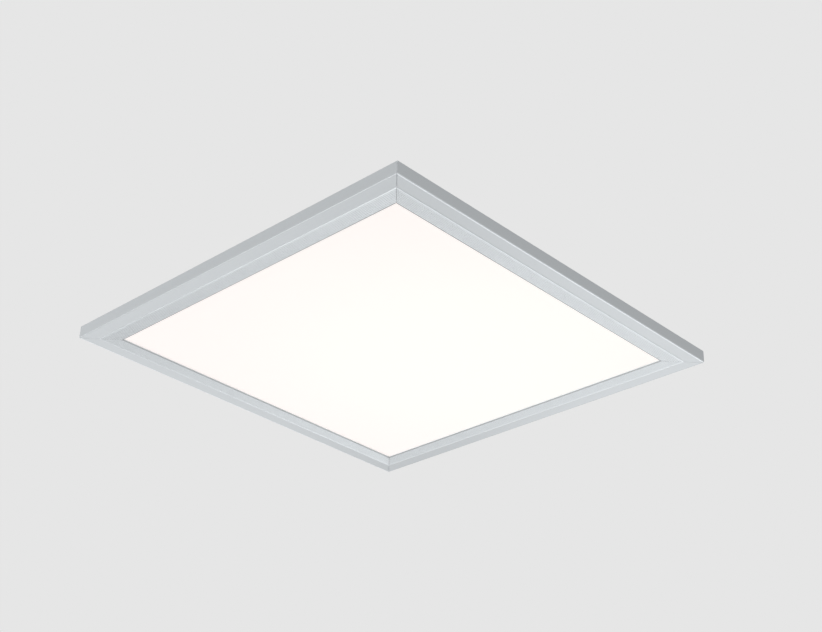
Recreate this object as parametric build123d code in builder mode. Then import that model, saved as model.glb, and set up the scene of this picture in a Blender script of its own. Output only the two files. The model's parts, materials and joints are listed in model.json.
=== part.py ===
"""Square edge-lit LED panel ceiling light, in millimetres, +Z up.

A mitred aluminium frame holds an opal diffuser and a light guide that is lit from two opposite edges. A
steel tray on the panel's back holds the driver and the supply terminal, and hooks onto a bracket that is
screwed to the ceiling. The origin lies on the ceiling plane, midway between the two ceiling screw slots.
Left is -X, right is +X, front is -Y and back is +Y.
"""

import os
from math import pi

from build123d import *

# Panel frame: a mitred aluminium extrusion
PANEL_SIDE = 295.0
FACE_WIDTH = 21.0
FACE_THICK = 0.8
FRAME_WALL = 1.2
ARRIS_RADIUS = 0.4
PLAIN_BAND = 9.3
RIDGE_WIDTH = 1.5
RIDGE_RISE = 0.45
RIB_COUNT = 8
RIB_RISE = 0.28
WINDOW_LAND = 0.6
CHAMBER_WIDTH = 5.8
WEB_THICK = 1.0
SHELF_THICK = 1.0
MITRE_GAP = 0.1

# Corner keys in the frame's chamber
KEY_LEG = 26.0
KEY_CLEAR = 0.1

# Optical stack, from the window to the back cover
DIFFUSER_THICK = 1.5
GUIDE_THICK = 2.5
REFLECTOR_THICK = 0.3
FOAM_THICK = 2.4
COVER_THICK = 0.8
COVER_SINK = 0.2
COVER_EDGE_CLEAR = 0.2
PLATE_EDGE_GAP = 0.4
FOAM_INSET = 4.0
WIRE_CHANNEL = 5.0

# LED strips on the left and right webs
LED_BOARD_THICK = 1.0
LED_BOARD_LOWER_GAP = 0.25
LED_BOARD_UPPER_GAP = 1.4
LED_BOARD_END_ROOM = 12.0
LED_COUNT = 36
LED_LENGTH = 4.0
LED_HEIGHT = 1.4
LED_DEPTH = 0.7
LED_GAP = 0.5

# Back cover screws, self-tapping with a cross recess
COVER_SCREW_DIAMETER = 2.9
COVER_SCREW_LENGTH = 6.0
COVER_SCREW_HEAD_DIAMETER = 5.2
COVER_SCREW_HEAD_HEIGHT = 1.5
COVER_SCREW_CLEAR = 0.2
COVER_SCREW_CORNER = 18.0
RECESS_LENGTH = 3.0
RECESS_WIDTH = 0.7
RECESS_DEPTH = 0.8

# Housing tray on the back cover
TRAY_LENGTH = 184.0
TRAY_WIDTH = 130.0
TRAY_HEIGHT = 34.0
TRAY_THICK = 1.0
TRAY_CORNER = 5.0
LIP_WIDTH = 22.0
RIVET_DIAMETER = 3.2
RIVET_HEAD_DIAMETER = 6.4
RIVET_HEAD_HEIGHT = 1.0
RIVET_TAIL_DIAMETER = 4.8
RIVET_TAIL_CLEAR = 0.4
RIVET_FIT = 0.05
RIVET_INSET = 8.0
FOAM_HOLE_CLEAR = 1.0

# Ceiling bracket: a plate on the ceiling, two arms welded under its ends, and their hook studs
BRACKET_THICK = 1.5
BRACKET_WIDTH = 40.0
BRACKET_CORNER = 4.0
ARM_LAP = 15.0
ARM_MARGIN_X = 12.0
ARM_MARGIN_Y = 8.0
SCREW_SLOT_SPACING = 100.0
SCREW_SLOT_LENGTH = 16.0
SCREW_SLOT_WIDTH = 5.2
TAB_WIDTH = 24.0
TAB_DROP = 12.5
HOOK_INSET = 13.0
HOOK_Y = 42.0
HOOK_DIAMETER = 4.0
HOOK_FIT = 0.05
HOOK_RIVET_DIAMETER = 6.0
HOOK_RIVET_HEIGHT = 0.8
HOOK_HEAD_DIAMETER = 8.0
HOOK_HEAD_HEIGHT = 1.5
HANG_GAP = 0.3
UNHOOK_SLIDE = 10.0
KEYHOLE_CLEAR = 0.3
KEYHOLE_HEAD_CLEAR = 0.5
TAB_SLIDE_CLEAR = 2.0

# Bush in the bracket's cable hole
BUSH_BORE = 19.0
BUSH_WALL = 2.0
BUSH_FLANGE = 3.0
BUSH_FLANGE_THICK = 1.5
BUSH_NOSE = 2.5
BUSH_SINK = 0.3
BUSH_FIT = 0.1

# Lock screws and the press nuts that they turn in
LOCK_DIAMETER = 4.0
LOCK_DROP = 7.2
LOCK_FIT = 0.06
LOCK_WALL_CLEAR = 0.3
LOCK_TIP_GAP = 0.2
LOCK_HEAD_DIAMETER = 12.0
LOCK_HEAD_LENGTH = 6.0
LOCK_HEAD_GAP = 0.3
LOCK_HEAD_CHAMFER = 0.6
KNURL_COUNT = 24
KNURL_DEPTH = 0.4
PRESS_NUT_DIAMETER = 8.0
PRESS_NUT_LENGTH = 3.0
NUT_TAB_GAP = 1.0

# Mounting ears, clinch studs and nuts in the tray
EAR_LENGTH = 10.0
EAR_WIDTH = 12.0
EAR_THICK = 2.4
STUD_DIAMETER = 3.0
STUD_HEIGHT = 8.0
STUD_CLEAR = 0.2
NUT_ACROSS_FLATS = 5.5
NUT_HEIGHT = 2.4
NUT_FIT = 0.06

# LED driver
DRIVER_LENGTH = 100.0
DRIVER_WIDTH = 40.0
DRIVER_BASE_HEIGHT = 14.0
DRIVER_COVER_HEIGHT = 8.0
DRIVER_WALL = 1.6
DRIVER_CORNER = 2.5
DRIVER_WALL_GAP = 10.0
DRIVER_RIM_DEPTH = 1.5
DRIVER_RIM_THICK = 1.0
DRIVER_RIM_CLEAR = 0.15
VENT_COUNT = 7
VENT_LENGTH = 20.0
VENT_WIDTH = 1.8
VENT_PITCH = 5.0
BOARD_POST_DIAMETER = 5.0
BOARD_POST_HEIGHT = 3.0
BOARD_POST_INSET = 6.0
BOARD_THICK = 1.6
BOARD_CLEAR = 0.5
LEAD_ENTRY_HEIGHT = 10.5
LEAD_SOLDER_INSET = 6.0

# Driver components: footprints, places as shares of the board's length and the room left above each
TRANSFORMER_LENGTH = 16.0
TRANSFORMER_WIDTH = 20.0
TRANSFORMER_PLACE = -0.125
TRANSFORMER_ROOM = 2.0
TRANSFORMER_CORE_WIDTH = 10.0
TRANSFORMER_CORE_OVERHANG = 2.0
INPUT_CAPACITOR_DIAMETER = 10.0
INPUT_CAPACITOR_PLACE = 0.085
OUTPUT_CAPACITOR_DIAMETER = 8.0
OUTPUT_CAPACITOR_PLACE = -0.315
CAPACITOR_ROOM = 1.4
CAPACITOR_ROUND = 0.8
CHOKE_DIAMETER = 11.0
CHOKE_PLACE = 0.23
CHOKE_ROOM = 4.0
CHOKE_FLANGE = 1.6
CHOKE_WAIST = 2.0
FUSE_LENGTH = 4.0
FUSE_WIDTH = 8.5
FUSE_PLACE = 0.355
FUSE_ROOM = 5.5
SWITCH_LENGTH = 5.0
SWITCH_WIDTH = 6.0
SWITCH_HEIGHT = 1.8
SWITCH_PLACE = -0.24
SWITCH_Y = 14.0

# Supply terminal with push-wire release buttons
TERMINAL_LENGTH = 36.0
TERMINAL_DEPTH = 26.0
TERMINAL_HEIGHT = 16.0
TERMINAL_CORNER = 1.0
TERMINAL_SIDE_ROOM = 33.0
TERMINAL_BACK_ROOM = 17.0
POLE_PITCH = 11.0
WIRE_ENTRY = 3.4
WIRE_ENTRY_HEIGHT = 6.7
CONTACT_LENGTH = 10.0
CONTACT_THICK = 0.5
CONTACT_SIDE_CLEAR = 0.2
CONTACT_LEAF_HEIGHT = 2.4
BUTTON_WIDTH = 6.0
BUTTON_LENGTH = 8.0
BUTTON_HEIGHT = 6.2
BUTTON_PROUD = 2.0
BUTTON_TRAVEL = 1.5
BUTTON_CLEAR = 0.15
BUTTON_FLOOR_GAP = 0.4
BUTTON_BACK_INSET = 5.0
BUTTON_EDGE = 0.6

# Leads inside the light
STRIP_LEAD_DIAMETER = 2.0
STRIP_LEAD_LIFT = 0.1
STRIP_LEAD_BEND = 6.0
LEAD_SLOT_WIDTH = 8.0
EXIT_BEND = 3.0
RISE_BEND = 7.0
GROMMET_BORE = 6.0
GROMMET_HOLE = 8.4
GROMMET_FIT = 0.1
GROMMET_FLANGE = 1.4
GROMMET_FLANGE_THICK = 0.8
MAINS_LEAD_DIAMETER = 1.8
MAINS_LEAD_SPACING = 4.0
MAINS_LEAD_LIFT = 3.0
LEAD_HOLE_CLEAR = 0.25
SOLDER_BEND = 2.4
CORNER_BEND = 5.0
SIDE_RUN_ROOM = 11.0
BACK_RUN_ROOM = 9.0
CLIP_Y = 10.0
CLIP_LENGTH = 8.0
CLIP_WALL = 1.6
CLIP_BASE_THICK = 1.0
CLIP_BASE_WIDTH = 16.0
CLIP_FIT = 0.1

# Earth lug beside the terminal
LUG_RING_DIAMETER = 7.0
LUG_THICK = 0.8
LUG_BARREL_DIAMETER = 3.0
LUG_BARREL_LENGTH = 6.0
LUG_BARREL_LIFT = 0.1
EARTH_STUD_ROOM = 12.0
EARTH_STUD_SETBACK = 6.0

# Levels, worked out downwards from the ceiling
BRACKET_BASE = -BRACKET_THICK
ARM_BASE = BRACKET_BASE - BRACKET_THICK
LIP_TOP = ARM_BASE - HANG_GAP
LIP_BASE = LIP_TOP - TRAY_THICK
TRAY_BASE = LIP_TOP - TRAY_HEIGHT
TRAY_FLOOR = TRAY_BASE + TRAY_THICK
COVER_TOP = TRAY_BASE
COVER_BASE = COVER_TOP - COVER_THICK
FRAME_TOP = COVER_TOP + COVER_SINK
FOAM_BASE = COVER_BASE - FOAM_THICK
REFLECTOR_BASE = FOAM_BASE - REFLECTOR_THICK
GUIDE_BASE = REFLECTOR_BASE - GUIDE_THICK
DIFFUSER_BASE = GUIDE_BASE - DIFFUSER_THICK
FACE = DIFFUSER_BASE - FACE_THICK

# Plan sizes that several pieces share
HALF_SIDE = PANEL_SIDE / 2
WEB_INSIDE = FRAME_WALL + CHAMBER_WIDTH + WEB_THICK
FRAME_HEIGHT = FRAME_TOP - FACE
CHAMBER_HEIGHT = COVER_BASE - SHELF_THICK - DIFFUSER_BASE
SCREW_INSET = FRAME_WALL + CHAMBER_WIDTH / 2
GUIDE_EDGE = WEB_INSIDE + LED_BOARD_THICK + LED_DEPTH + LED_GAP
GUIDE_LENGTH = PANEL_SIDE - 2 * GUIDE_EDGE
GUIDE_WIDTH = PANEL_SIDE - 2 * (WEB_INSIDE + PLATE_EDGE_GAP)
FOAM_LENGTH = GUIDE_LENGTH - 2 * FOAM_INSET
FOAM_WIDTH = PANEL_SIDE - 2 * (WEB_INSIDE + WIRE_CHANNEL)
LED_BOARD_LENGTH = PANEL_SIDE - 2 * (WEB_INSIDE + LED_BOARD_END_ROOM)
LED_BOARD_BASE = DIFFUSER_BASE + LED_BOARD_LOWER_GAP
LED_BOARD_TOP = COVER_BASE - LED_BOARD_UPPER_GAP
TRAY_INSIDE_X = TRAY_LENGTH / 2 - TRAY_THICK
TRAY_INSIDE_Y = TRAY_WIDTH / 2 - TRAY_THICK
HOOK_X = TRAY_INSIDE_X - HOOK_INSET
ARM_INNER_X = HOOK_X - ARM_MARGIN_X
TAB_FACE_X = TRAY_INSIDE_X - PRESS_NUT_LENGTH - NUT_TAB_GAP
LIP_INNER_Y = TAB_WIDTH / 2 + UNHOOK_SLIDE + TAB_SLIDE_CLEAR
LOCK_Z = LIP_TOP - LOCK_DROP
RIVET_X = TRAY_LENGTH / 2 - RIVET_INSET
RIVET_Y = TRAY_WIDTH / 2 - RIVET_INSET
BUSH_OUTER_RADIUS = BUSH_BORE / 2 + BUSH_WALL

# Places of what the tray carries
DRIVER_Y = -(TRAY_INSIDE_Y - DRIVER_WALL_GAP - DRIVER_WIDTH / 2)
DRIVER_EAR_X = (DRIVER_LENGTH + EAR_LENGTH) / 2
DRIVER_BASE_TOP = TRAY_FLOOR + DRIVER_BASE_HEIGHT
DRIVER_TOP = DRIVER_BASE_TOP + DRIVER_COVER_HEIGHT
BOARD_BASE = TRAY_FLOOR + DRIVER_WALL + BOARD_POST_HEIGHT
BOARD_TOP = BOARD_BASE + BOARD_THICK
BOARD_LENGTH = DRIVER_LENGTH - 2 * (DRIVER_WALL + BOARD_CLEAR)
BOARD_WIDTH = DRIVER_WIDTH - 2 * (DRIVER_WALL + BOARD_CLEAR)
COMPONENT_ROOM = DRIVER_TOP - DRIVER_WALL - BOARD_TOP
ENTRY_Z = TRAY_FLOOR + LEAD_ENTRY_HEIGHT
SOLDER_X = DRIVER_LENGTH / 2 - LEAD_SOLDER_INSET
TERMINAL_X = TRAY_INSIDE_X - TERMINAL_SIDE_ROOM - TERMINAL_LENGTH / 2
TERMINAL_Y = TRAY_INSIDE_Y - TERMINAL_BACK_ROOM - TERMINAL_DEPTH / 2
TERMINAL_EAR_X = (TERMINAL_LENGTH + EAR_LENGTH) / 2
TERMINAL_TOP = TRAY_FLOOR + TERMINAL_HEIGHT
WIRE_Z = TRAY_FLOOR + WIRE_ENTRY_HEIGHT
BUTTON_Y = TERMINAL_Y - TERMINAL_DEPTH / 2 + BUTTON_BACK_INSET + BUTTON_LENGTH / 2
EARTH_X = TERMINAL_X - TERMINAL_LENGTH / 2 - EAR_LENGTH - EARTH_STUD_ROOM
EARTH_Y = TERMINAL_Y + EARTH_STUD_SETBACK
EXIT_X = -(DRIVER_LENGTH / 2 + EAR_LENGTH + TRAY_INSIDE_X) / 2
STRIP_LEAD_Z = FOAM_BASE + STRIP_LEAD_DIAMETER / 2 + STRIP_LEAD_LIFT
STRIP_LEAD_X = HALF_SIDE - WEB_INSIDE - STRIP_LEAD_DIAMETER / 2 - STRIP_LEAD_LIFT
STRIP_LEAD_Y = HALF_SIDE - WEB_INSIDE - WIRE_CHANNEL / 2
SIDE_RUN_X = TRAY_INSIDE_X - SIDE_RUN_ROOM
SIDE_RUN_Z = TRAY_FLOOR + MAINS_LEAD_LIFT
BACK_RUN_Y = TRAY_INSIDE_Y - BACK_RUN_ROOM

# Poles of the terminal, from the earth stud's side outwards
POLES = {"earth": -1, "neutral": 0, "live": 1}
FRAME_TURNS = {"front": 0, "right": 90, "back": 180, "left": 270}
SIDES = {"left": -1, "right": 1}
ENDS = {"front": -1, "back": 1}


def save(piece, name):
    """Label a finished piece and write its STEP file."""
    piece.part.label = name
    export_step(piece.part, f"parts/{name}.step")


def side_directions(turn):
    """Return the direction along a frame side and the direction from it into the panel."""
    along = Vector(1, 0, 0).rotate(Axis.Z, turn)
    inward = Vector(0, 1, 0).rotate(Axis.Z, turn)
    return along, inward


def side_screw_points(turn, height):
    """Return the three back cover screw places on one frame side."""
    along, inward = side_directions(turn)
    row = inward * (SCREW_INSET - HALF_SIDE) + Vector(0, 0, height)
    reach = HALF_SIDE - COVER_SCREW_CORNER
    return [row + along * place for place in (-reach, 0, reach)]


def cover_screw_points(height):
    """Return all the back cover screw places."""
    return [point for turn in FRAME_TURNS.values() for point in side_screw_points(turn, height)]


def rivet_points(height):
    """Return the places of the rivets between the tray and the back cover."""
    return [(x, y, height) for x in (-RIVET_X, RIVET_X) for y in (-RIVET_Y, RIVET_Y)]


def hook_points(height, shift=0.0):
    """Return the four hook stud places, moved along Y by shift."""
    return [(x, y + shift, height) for x in (-HOOK_X, HOOK_X) for y in (-HOOK_Y, HOOK_Y)]


def ear_points(height):
    """Return the stud places under the ears of the driver and the terminal."""
    driver = [(x, DRIVER_Y, height) for x in (-DRIVER_EAR_X, DRIVER_EAR_X)]
    terminal = [(TERMINAL_X + x, TERMINAL_Y, height) for x in (-TERMINAL_EAR_X, TERMINAL_EAR_X)]
    return driver + terminal


def pole_x(pole):
    """Return the place of a terminal pole along X."""
    return TERMINAL_X + POLES[pole] * POLE_PITCH


def report_lead(name, lead, route, radii, diameter):
    """Print a lead's bend radii and its volume beside its section times its length."""
    section = pi * diameter**2 / 4
    expected = section * sum(edge.length for edge in route.edges())
    print(f"{name}: bends {list(radii)}, volume {lead.part.volume:.2f}, expected {expected:.2f}")


os.makedirs("parts", exist_ok=True)

# Frame sides: one profile, from the outer wall at u = 0 to the window at u = FACE_WIDTH
for side, turn in FRAME_TURNS.items():
    along, inward = side_directions(turn)
    section_plane = Plane(inward * -HALF_SIDE + Vector(0, 0, FACE), x_dir=inward, z_dir=along)
    rib_start = PLAIN_BAND + RIDGE_WIDTH
    rib_pitch = (FACE_WIDTH - WINDOW_LAND - rib_start) / RIB_COUNT
    beads = [(PLAIN_BAND, RIDGE_WIDTH, RIDGE_RISE)]
    beads += [(rib_start + i * rib_pitch, rib_pitch, RIB_RISE) for i in range(RIB_COUNT)]
    shelf_top = COVER_BASE - FACE
    with BuildPart() as frame_side:
        with BuildSketch(section_plane):
            with BuildLine():
                CenterArc((ARRIS_RADIUS, ARRIS_RADIUS), ARRIS_RADIUS, 180, 90)
                Line((ARRIS_RADIUS, 0), (PLAIN_BAND, 0))
                for start, width, rise in beads:
                    ThreePointArc((start, 0), (start + width / 2, -rise), (start + width, 0))
                Polyline(
                    (FACE_WIDTH - WINDOW_LAND, 0),
                    (FACE_WIDTH, 0),
                    (FACE_WIDTH, FACE_THICK),
                    (WEB_INSIDE, FACE_THICK),
                    (WEB_INSIDE, shelf_top),
                    (FRAME_WALL, shelf_top),
                    (FRAME_WALL, FRAME_HEIGHT),
                    (0, FRAME_HEIGHT),
                    (0, ARRIS_RADIUS),
                )
            make_face()
            with Locations((SCREW_INSET, FACE_THICK + CHAMBER_HEIGHT / 2)):
                Rectangle(CHAMBER_WIDTH, CHAMBER_HEIGHT, mode=Mode.SUBTRACT)
        extrude(amount=HALF_SIDE, both=True)
        for end in (-1, 1):
            mitre_normal = (along * end + inward).normalized()
            corner = along * end * HALF_SIDE - inward * HALF_SIDE
            mitre = Plane(corner - mitre_normal * MITRE_GAP / 2, z_dir=mitre_normal)
            split(bisect_by=mitre, keep=Keep.BOTTOM)
        with Locations(*side_screw_points(turn, COVER_BASE)):
            Hole(COVER_SCREW_DIAMETER / 2 + COVER_SCREW_CLEAR, depth=SHELF_THICK)
    save(frame_side, f"frame_side_{side}")

# Corner keys: L-shaped, lying in the chambers across each mitre
for end, end_sign in ENDS.items():
    for side, side_sign in SIDES.items():
        key_width = CHAMBER_WIDTH - 2 * KEY_CLEAR
        key_outside = HALF_SIDE - FRAME_WALL - KEY_CLEAR
        leg_middle = key_outside - KEY_LEG / 2
        strip_middle = key_outside - key_width / 2
        screw_far = HALF_SIDE - COVER_SCREW_CORNER
        screw_near = HALF_SIDE - SCREW_INSET
        with BuildPart() as corner_key:
            with BuildSketch(Plane.XY.offset(DIFFUSER_BASE)):
                with Locations((side_sign * leg_middle, end_sign * strip_middle)):
                    Rectangle(KEY_LEG, key_width)
                with Locations((side_sign * strip_middle, end_sign * leg_middle)):
                    Rectangle(key_width, KEY_LEG)
            extrude(amount=CHAMBER_HEIGHT - KEY_CLEAR)
            with Locations(
                (side_sign * screw_far, end_sign * screw_near, DIFFUSER_BASE),
                (side_sign * screw_near, end_sign * screw_far, DIFFUSER_BASE),
            ):
                Hole(COVER_SCREW_DIAMETER / 2 + NUT_FIT)
        save(corner_key, f"corner_key_{end}_{side}")

# Diffuser, light guide and reflector: plain plates between the strips
with BuildPart() as diffuser_plate:
    with BuildSketch(Plane.XY.offset(DIFFUSER_BASE)):
        Rectangle(GUIDE_LENGTH, GUIDE_WIDTH)
    extrude(amount=DIFFUSER_THICK)
save(diffuser_plate, "diffuser_plate")

with BuildPart() as light_guide_plate:
    with BuildSketch(Plane.XY.offset(GUIDE_BASE)):
        Rectangle(GUIDE_LENGTH, GUIDE_WIDTH)
    extrude(amount=GUIDE_THICK)
save(light_guide_plate, "light_guide_plate")

with BuildPart() as reflector_sheet:
    with BuildSketch(Plane.XY.offset(REFLECTOR_BASE)):
        Rectangle(GUIDE_LENGTH, GUIDE_WIDTH)
    extrude(amount=REFLECTOR_THICK)
save(reflector_sheet, "reflector_sheet")

# Foam pad: presses the stack against the face, with room for the lead, its grommet and the rivet tails
with BuildPart() as foam_pad:
    with BuildSketch(Plane.XY.offset(FOAM_BASE)):
        Rectangle(FOAM_LENGTH, FOAM_WIDTH)
        slot_length = DRIVER_Y + FOAM_WIDTH / 2
        with Locations((EXIT_X, DRIVER_Y - slot_length / 2)):
            Rectangle(LEAD_SLOT_WIDTH, slot_length, mode=Mode.SUBTRACT)
        with Locations((EXIT_X, DRIVER_Y)):
            Circle(GROMMET_HOLE / 2 + FOAM_HOLE_CLEAR, mode=Mode.SUBTRACT)
        with Locations(*[(x, y) for x, y, _ in rivet_points(FOAM_BASE)]):
            Circle(RIVET_TAIL_DIAMETER / 2 + FOAM_HOLE_CLEAR, mode=Mode.SUBTRACT)
    extrude(amount=FOAM_THICK)
save(foam_pad, "foam_pad")

# LED strips: a board glued to the web, and its LEDs facing the edge of the light guide
for side, sign in SIDES.items():
    board_x = sign * (HALF_SIDE - WEB_INSIDE - LED_BOARD_THICK / 2)
    with BuildPart() as led_board:
        with BuildSketch(Plane.XY.offset(LED_BOARD_BASE)):
            with Locations((board_x, 0)):
                Rectangle(LED_BOARD_THICK, LED_BOARD_LENGTH)
        extrude(amount=LED_BOARD_TOP - LED_BOARD_BASE)
    save(led_board, f"led_board_{side}")

    led_x = sign * (HALF_SIDE - WEB_INSIDE - LED_BOARD_THICK - LED_DEPTH / 2)
    led_base = GUIDE_BASE + (GUIDE_THICK - LED_HEIGHT) / 2
    with BuildPart() as led_chips:
        with BuildSketch(Plane.XY.offset(led_base)):
            with Locations((led_x, 0)):
                with GridLocations(0, LED_BOARD_LENGTH / LED_COUNT, 1, LED_COUNT):
                    Rectangle(LED_DEPTH, LED_LENGTH)
        extrude(amount=LED_HEIGHT)
    save(led_chips, f"led_chips_{side}")

# Back cover: a flat sheet in the frame's rebate
with BuildPart() as back_cover:
    cover_side = PANEL_SIDE - 2 * (FRAME_WALL + COVER_EDGE_CLEAR)
    with BuildSketch(Plane.XY.offset(COVER_BASE)):
        Rectangle(cover_side, cover_side)
    extrude(amount=COVER_THICK)
    with Locations(*cover_screw_points(COVER_TOP)):
        Hole(COVER_SCREW_DIAMETER / 2 + COVER_SCREW_CLEAR)
    with Locations(*rivet_points(COVER_TOP)):
        Hole(RIVET_DIAMETER / 2 + RIVET_FIT)
    with Locations((EXIT_X, DRIVER_Y, COVER_TOP)):
        Hole(GROMMET_HOLE / 2)
save(back_cover, "back_cover")

# Cover screws: one pan head screw, repeated at each place
with BuildPart() as cover_screw:
    with BuildSketch(Plane.XY.offset(-COVER_SCREW_LENGTH)):
        Circle(COVER_SCREW_DIAMETER / 2)
    extrude(amount=COVER_SCREW_LENGTH)
    with BuildSketch():
        Circle(COVER_SCREW_HEAD_DIAMETER / 2)
    extrude(amount=COVER_SCREW_HEAD_HEIGHT)
    head_rim = cover_screw.edges().filter_by(GeomType.CIRCLE).sort_by(Axis.Z)[-1]
    fillet(head_rim, COVER_SCREW_HEAD_HEIGHT / 2)
    with BuildSketch(Plane.XY.offset(COVER_SCREW_HEAD_HEIGHT)):
        Rectangle(RECESS_LENGTH, RECESS_WIDTH)
        Rectangle(RECESS_WIDTH, RECESS_LENGTH)
    extrude(amount=-RECESS_DEPTH, mode=Mode.SUBTRACT)

with BuildPart() as cover_screws:
    with Locations(*cover_screw_points(COVER_TOP)):
        add(cover_screw.part)
save(cover_screws, "cover_screws")

# Housing tray: an open pan whose end lips hang on the hook studs by keyholes
with BuildPart() as housing_tray:
    with BuildSketch(Plane.XY.offset(TRAY_BASE)):
        RectangleRounded(TRAY_LENGTH, TRAY_WIDTH, TRAY_CORNER)
    extrude(amount=TRAY_HEIGHT)
    with BuildSketch(Plane.XY.offset(TRAY_FLOOR)):
        RectangleRounded(2 * TRAY_INSIDE_X, 2 * TRAY_INSIDE_Y, TRAY_CORNER - TRAY_THICK)
    extrude(amount=TRAY_HEIGHT, mode=Mode.SUBTRACT)
    lip_length = TRAY_INSIDE_Y - LIP_INNER_Y
    lip_x = TRAY_INSIDE_X - LIP_WIDTH / 2
    lip_y = LIP_INNER_Y + lip_length / 2
    with BuildSketch(Plane.XY.offset(LIP_BASE)):
        with GridLocations(2 * lip_x, 2 * lip_y, 2, 2):
            Rectangle(LIP_WIDTH, lip_length)
        RectangleRounded(TRAY_LENGTH, TRAY_WIDTH, TRAY_CORNER, mode=Mode.INTERSECT)
    extrude(amount=TRAY_THICK)
    with BuildSketch(Plane.XY.offset(LIP_BASE)):
        with Locations(*[(x, y) for x, y, _ in hook_points(LIP_BASE, -UNHOOK_SLIDE / 2)]):
            SlotCenterToCenter(UNHOOK_SLIDE, HOOK_DIAMETER + 2 * KEYHOLE_CLEAR, rotation=90)
        with Locations(*[(x, y) for x, y, _ in hook_points(LIP_BASE, -UNHOOK_SLIDE)]):
            Circle(HOOK_HEAD_DIAMETER / 2 + KEYHOLE_HEAD_CLEAR)
    extrude(amount=TRAY_THICK, mode=Mode.SUBTRACT)
    with BuildSketch(Plane.YZ.offset(-TRAY_LENGTH / 2)):
        with Locations((0, LOCK_Z)):
            Circle(LOCK_DIAMETER / 2 + LOCK_WALL_CLEAR)
    extrude(amount=TRAY_LENGTH, mode=Mode.SUBTRACT)
    with Locations(*rivet_points(TRAY_FLOOR)):
        Hole(RIVET_DIAMETER / 2 + RIVET_FIT, depth=TRAY_THICK)
    with Locations((EXIT_X, DRIVER_Y, TRAY_FLOOR)):
        Hole(GROMMET_HOLE / 2, depth=TRAY_THICK)
save(housing_tray, "housing_tray")

# Tray rivets: a domed head in the tray, a set tail in the foam's clearance
with BuildPart() as tray_rivet:
    tail_height = FOAM_THICK - RIVET_TAIL_CLEAR
    with BuildSketch(Plane.XY.offset(COVER_BASE - tail_height)):
        Circle(RIVET_TAIL_DIAMETER / 2)
    extrude(amount=tail_height)
    with BuildSketch(Plane.XY.offset(COVER_BASE)):
        Circle(RIVET_DIAMETER / 2)
    extrude(amount=TRAY_FLOOR - COVER_BASE)
    with BuildSketch(Plane.XY.offset(TRAY_FLOOR)):
        Circle(RIVET_HEAD_DIAMETER / 2)
    extrude(amount=RIVET_HEAD_HEIGHT)
    rivet_rim = tray_rivet.edges().filter_by(GeomType.CIRCLE).sort_by(Axis.Z)[-1]
    fillet(rivet_rim, RIVET_HEAD_HEIGHT / 2)

with BuildPart() as tray_rivets:
    with Locations(*rivet_points(0)):
        add(tray_rivet.part)
save(tray_rivets, "tray_rivets")

# Ceiling bracket: a plate with two slots for the ceiling screws and a hole for the supply cable
with BuildPart() as ceiling_bracket:
    with BuildSketch(Plane.XY.offset(BRACKET_BASE)):
        RectangleRounded(2 * (ARM_INNER_X + ARM_LAP), BRACKET_WIDTH, BRACKET_CORNER)
        with GridLocations(SCREW_SLOT_SPACING, 0, 2, 1):
            SlotOverall(SCREW_SLOT_LENGTH, SCREW_SLOT_WIDTH, mode=Mode.SUBTRACT)
        Circle(BUSH_OUTER_RADIUS + BUSH_FIT, mode=Mode.SUBTRACT)
    extrude(amount=BRACKET_THICK)
save(ceiling_bracket, "ceiling_bracket")

# Bracket arms: a bar under each end of the plate, with a folded tab that the lock screw clamps
for side, sign in SIDES.items():
    arm_width = TAB_FACE_X - ARM_INNER_X
    arm_x = sign * (ARM_INNER_X + arm_width / 2)
    arm_hooks = [(x, y) for x, y, _ in hook_points(ARM_BASE) if x * sign > 0]
    with BuildPart() as bracket_arm:
        with BuildSketch(Plane.XY.offset(ARM_BASE)):
            with Locations((arm_x, 0)):
                RectangleRounded(arm_width, 2 * (HOOK_Y + ARM_MARGIN_Y), BRACKET_CORNER)
            with Locations(*arm_hooks):
                Circle(HOOK_DIAMETER / 2 + HOOK_FIT, mode=Mode.SUBTRACT)
        extrude(amount=BRACKET_THICK)
        with BuildSketch(Plane.XY.offset(ARM_BASE)):
            with Locations((sign * (TAB_FACE_X - BRACKET_THICK / 2), 0)):
                Rectangle(BRACKET_THICK, TAB_WIDTH)
        extrude(amount=-TAB_DROP)
    save(bracket_arm, f"bracket_arm_{side}")

# Hook studs: a shank riveted through the arm and a head that carries the tray's lip
with BuildPart() as hook_stud:
    with BuildSketch(Plane.XY.offset(LIP_BASE)):
        Circle(HOOK_DIAMETER / 2)
    extrude(amount=BRACKET_BASE - LIP_BASE)
    with BuildSketch(Plane.XY.offset(BRACKET_BASE)):
        Circle(HOOK_RIVET_DIAMETER / 2)
    extrude(amount=HOOK_RIVET_HEIGHT)
    with BuildSketch(Plane.XY.offset(LIP_BASE)):
        Circle(HOOK_HEAD_DIAMETER / 2)
    extrude(amount=-HOOK_HEAD_HEIGHT)

with BuildPart() as hook_studs:
    with Locations(*hook_points(0)):
        add(hook_stud.part)
save(hook_studs, "hook_studs")

# Cable bush: lines the bracket's cable hole
with BuildPart() as cable_bush:
    flange_base = BRACKET_BASE - BUSH_FLANGE_THICK
    with BuildSketch(Plane.XY.offset(flange_base - BUSH_NOSE)):
        Circle(BUSH_OUTER_RADIUS)
    extrude(amount=BUSH_NOSE - flange_base - BUSH_SINK)
    with BuildSketch(Plane.XY.offset(flange_base)):
        Circle(BUSH_OUTER_RADIUS + BUSH_FLANGE)
    extrude(amount=BUSH_FLANGE_THICK)
    with Locations((0, 0, flange_base)):
        Hole(BUSH_BORE / 2)
save(cable_bush, "cable_bush")

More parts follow.
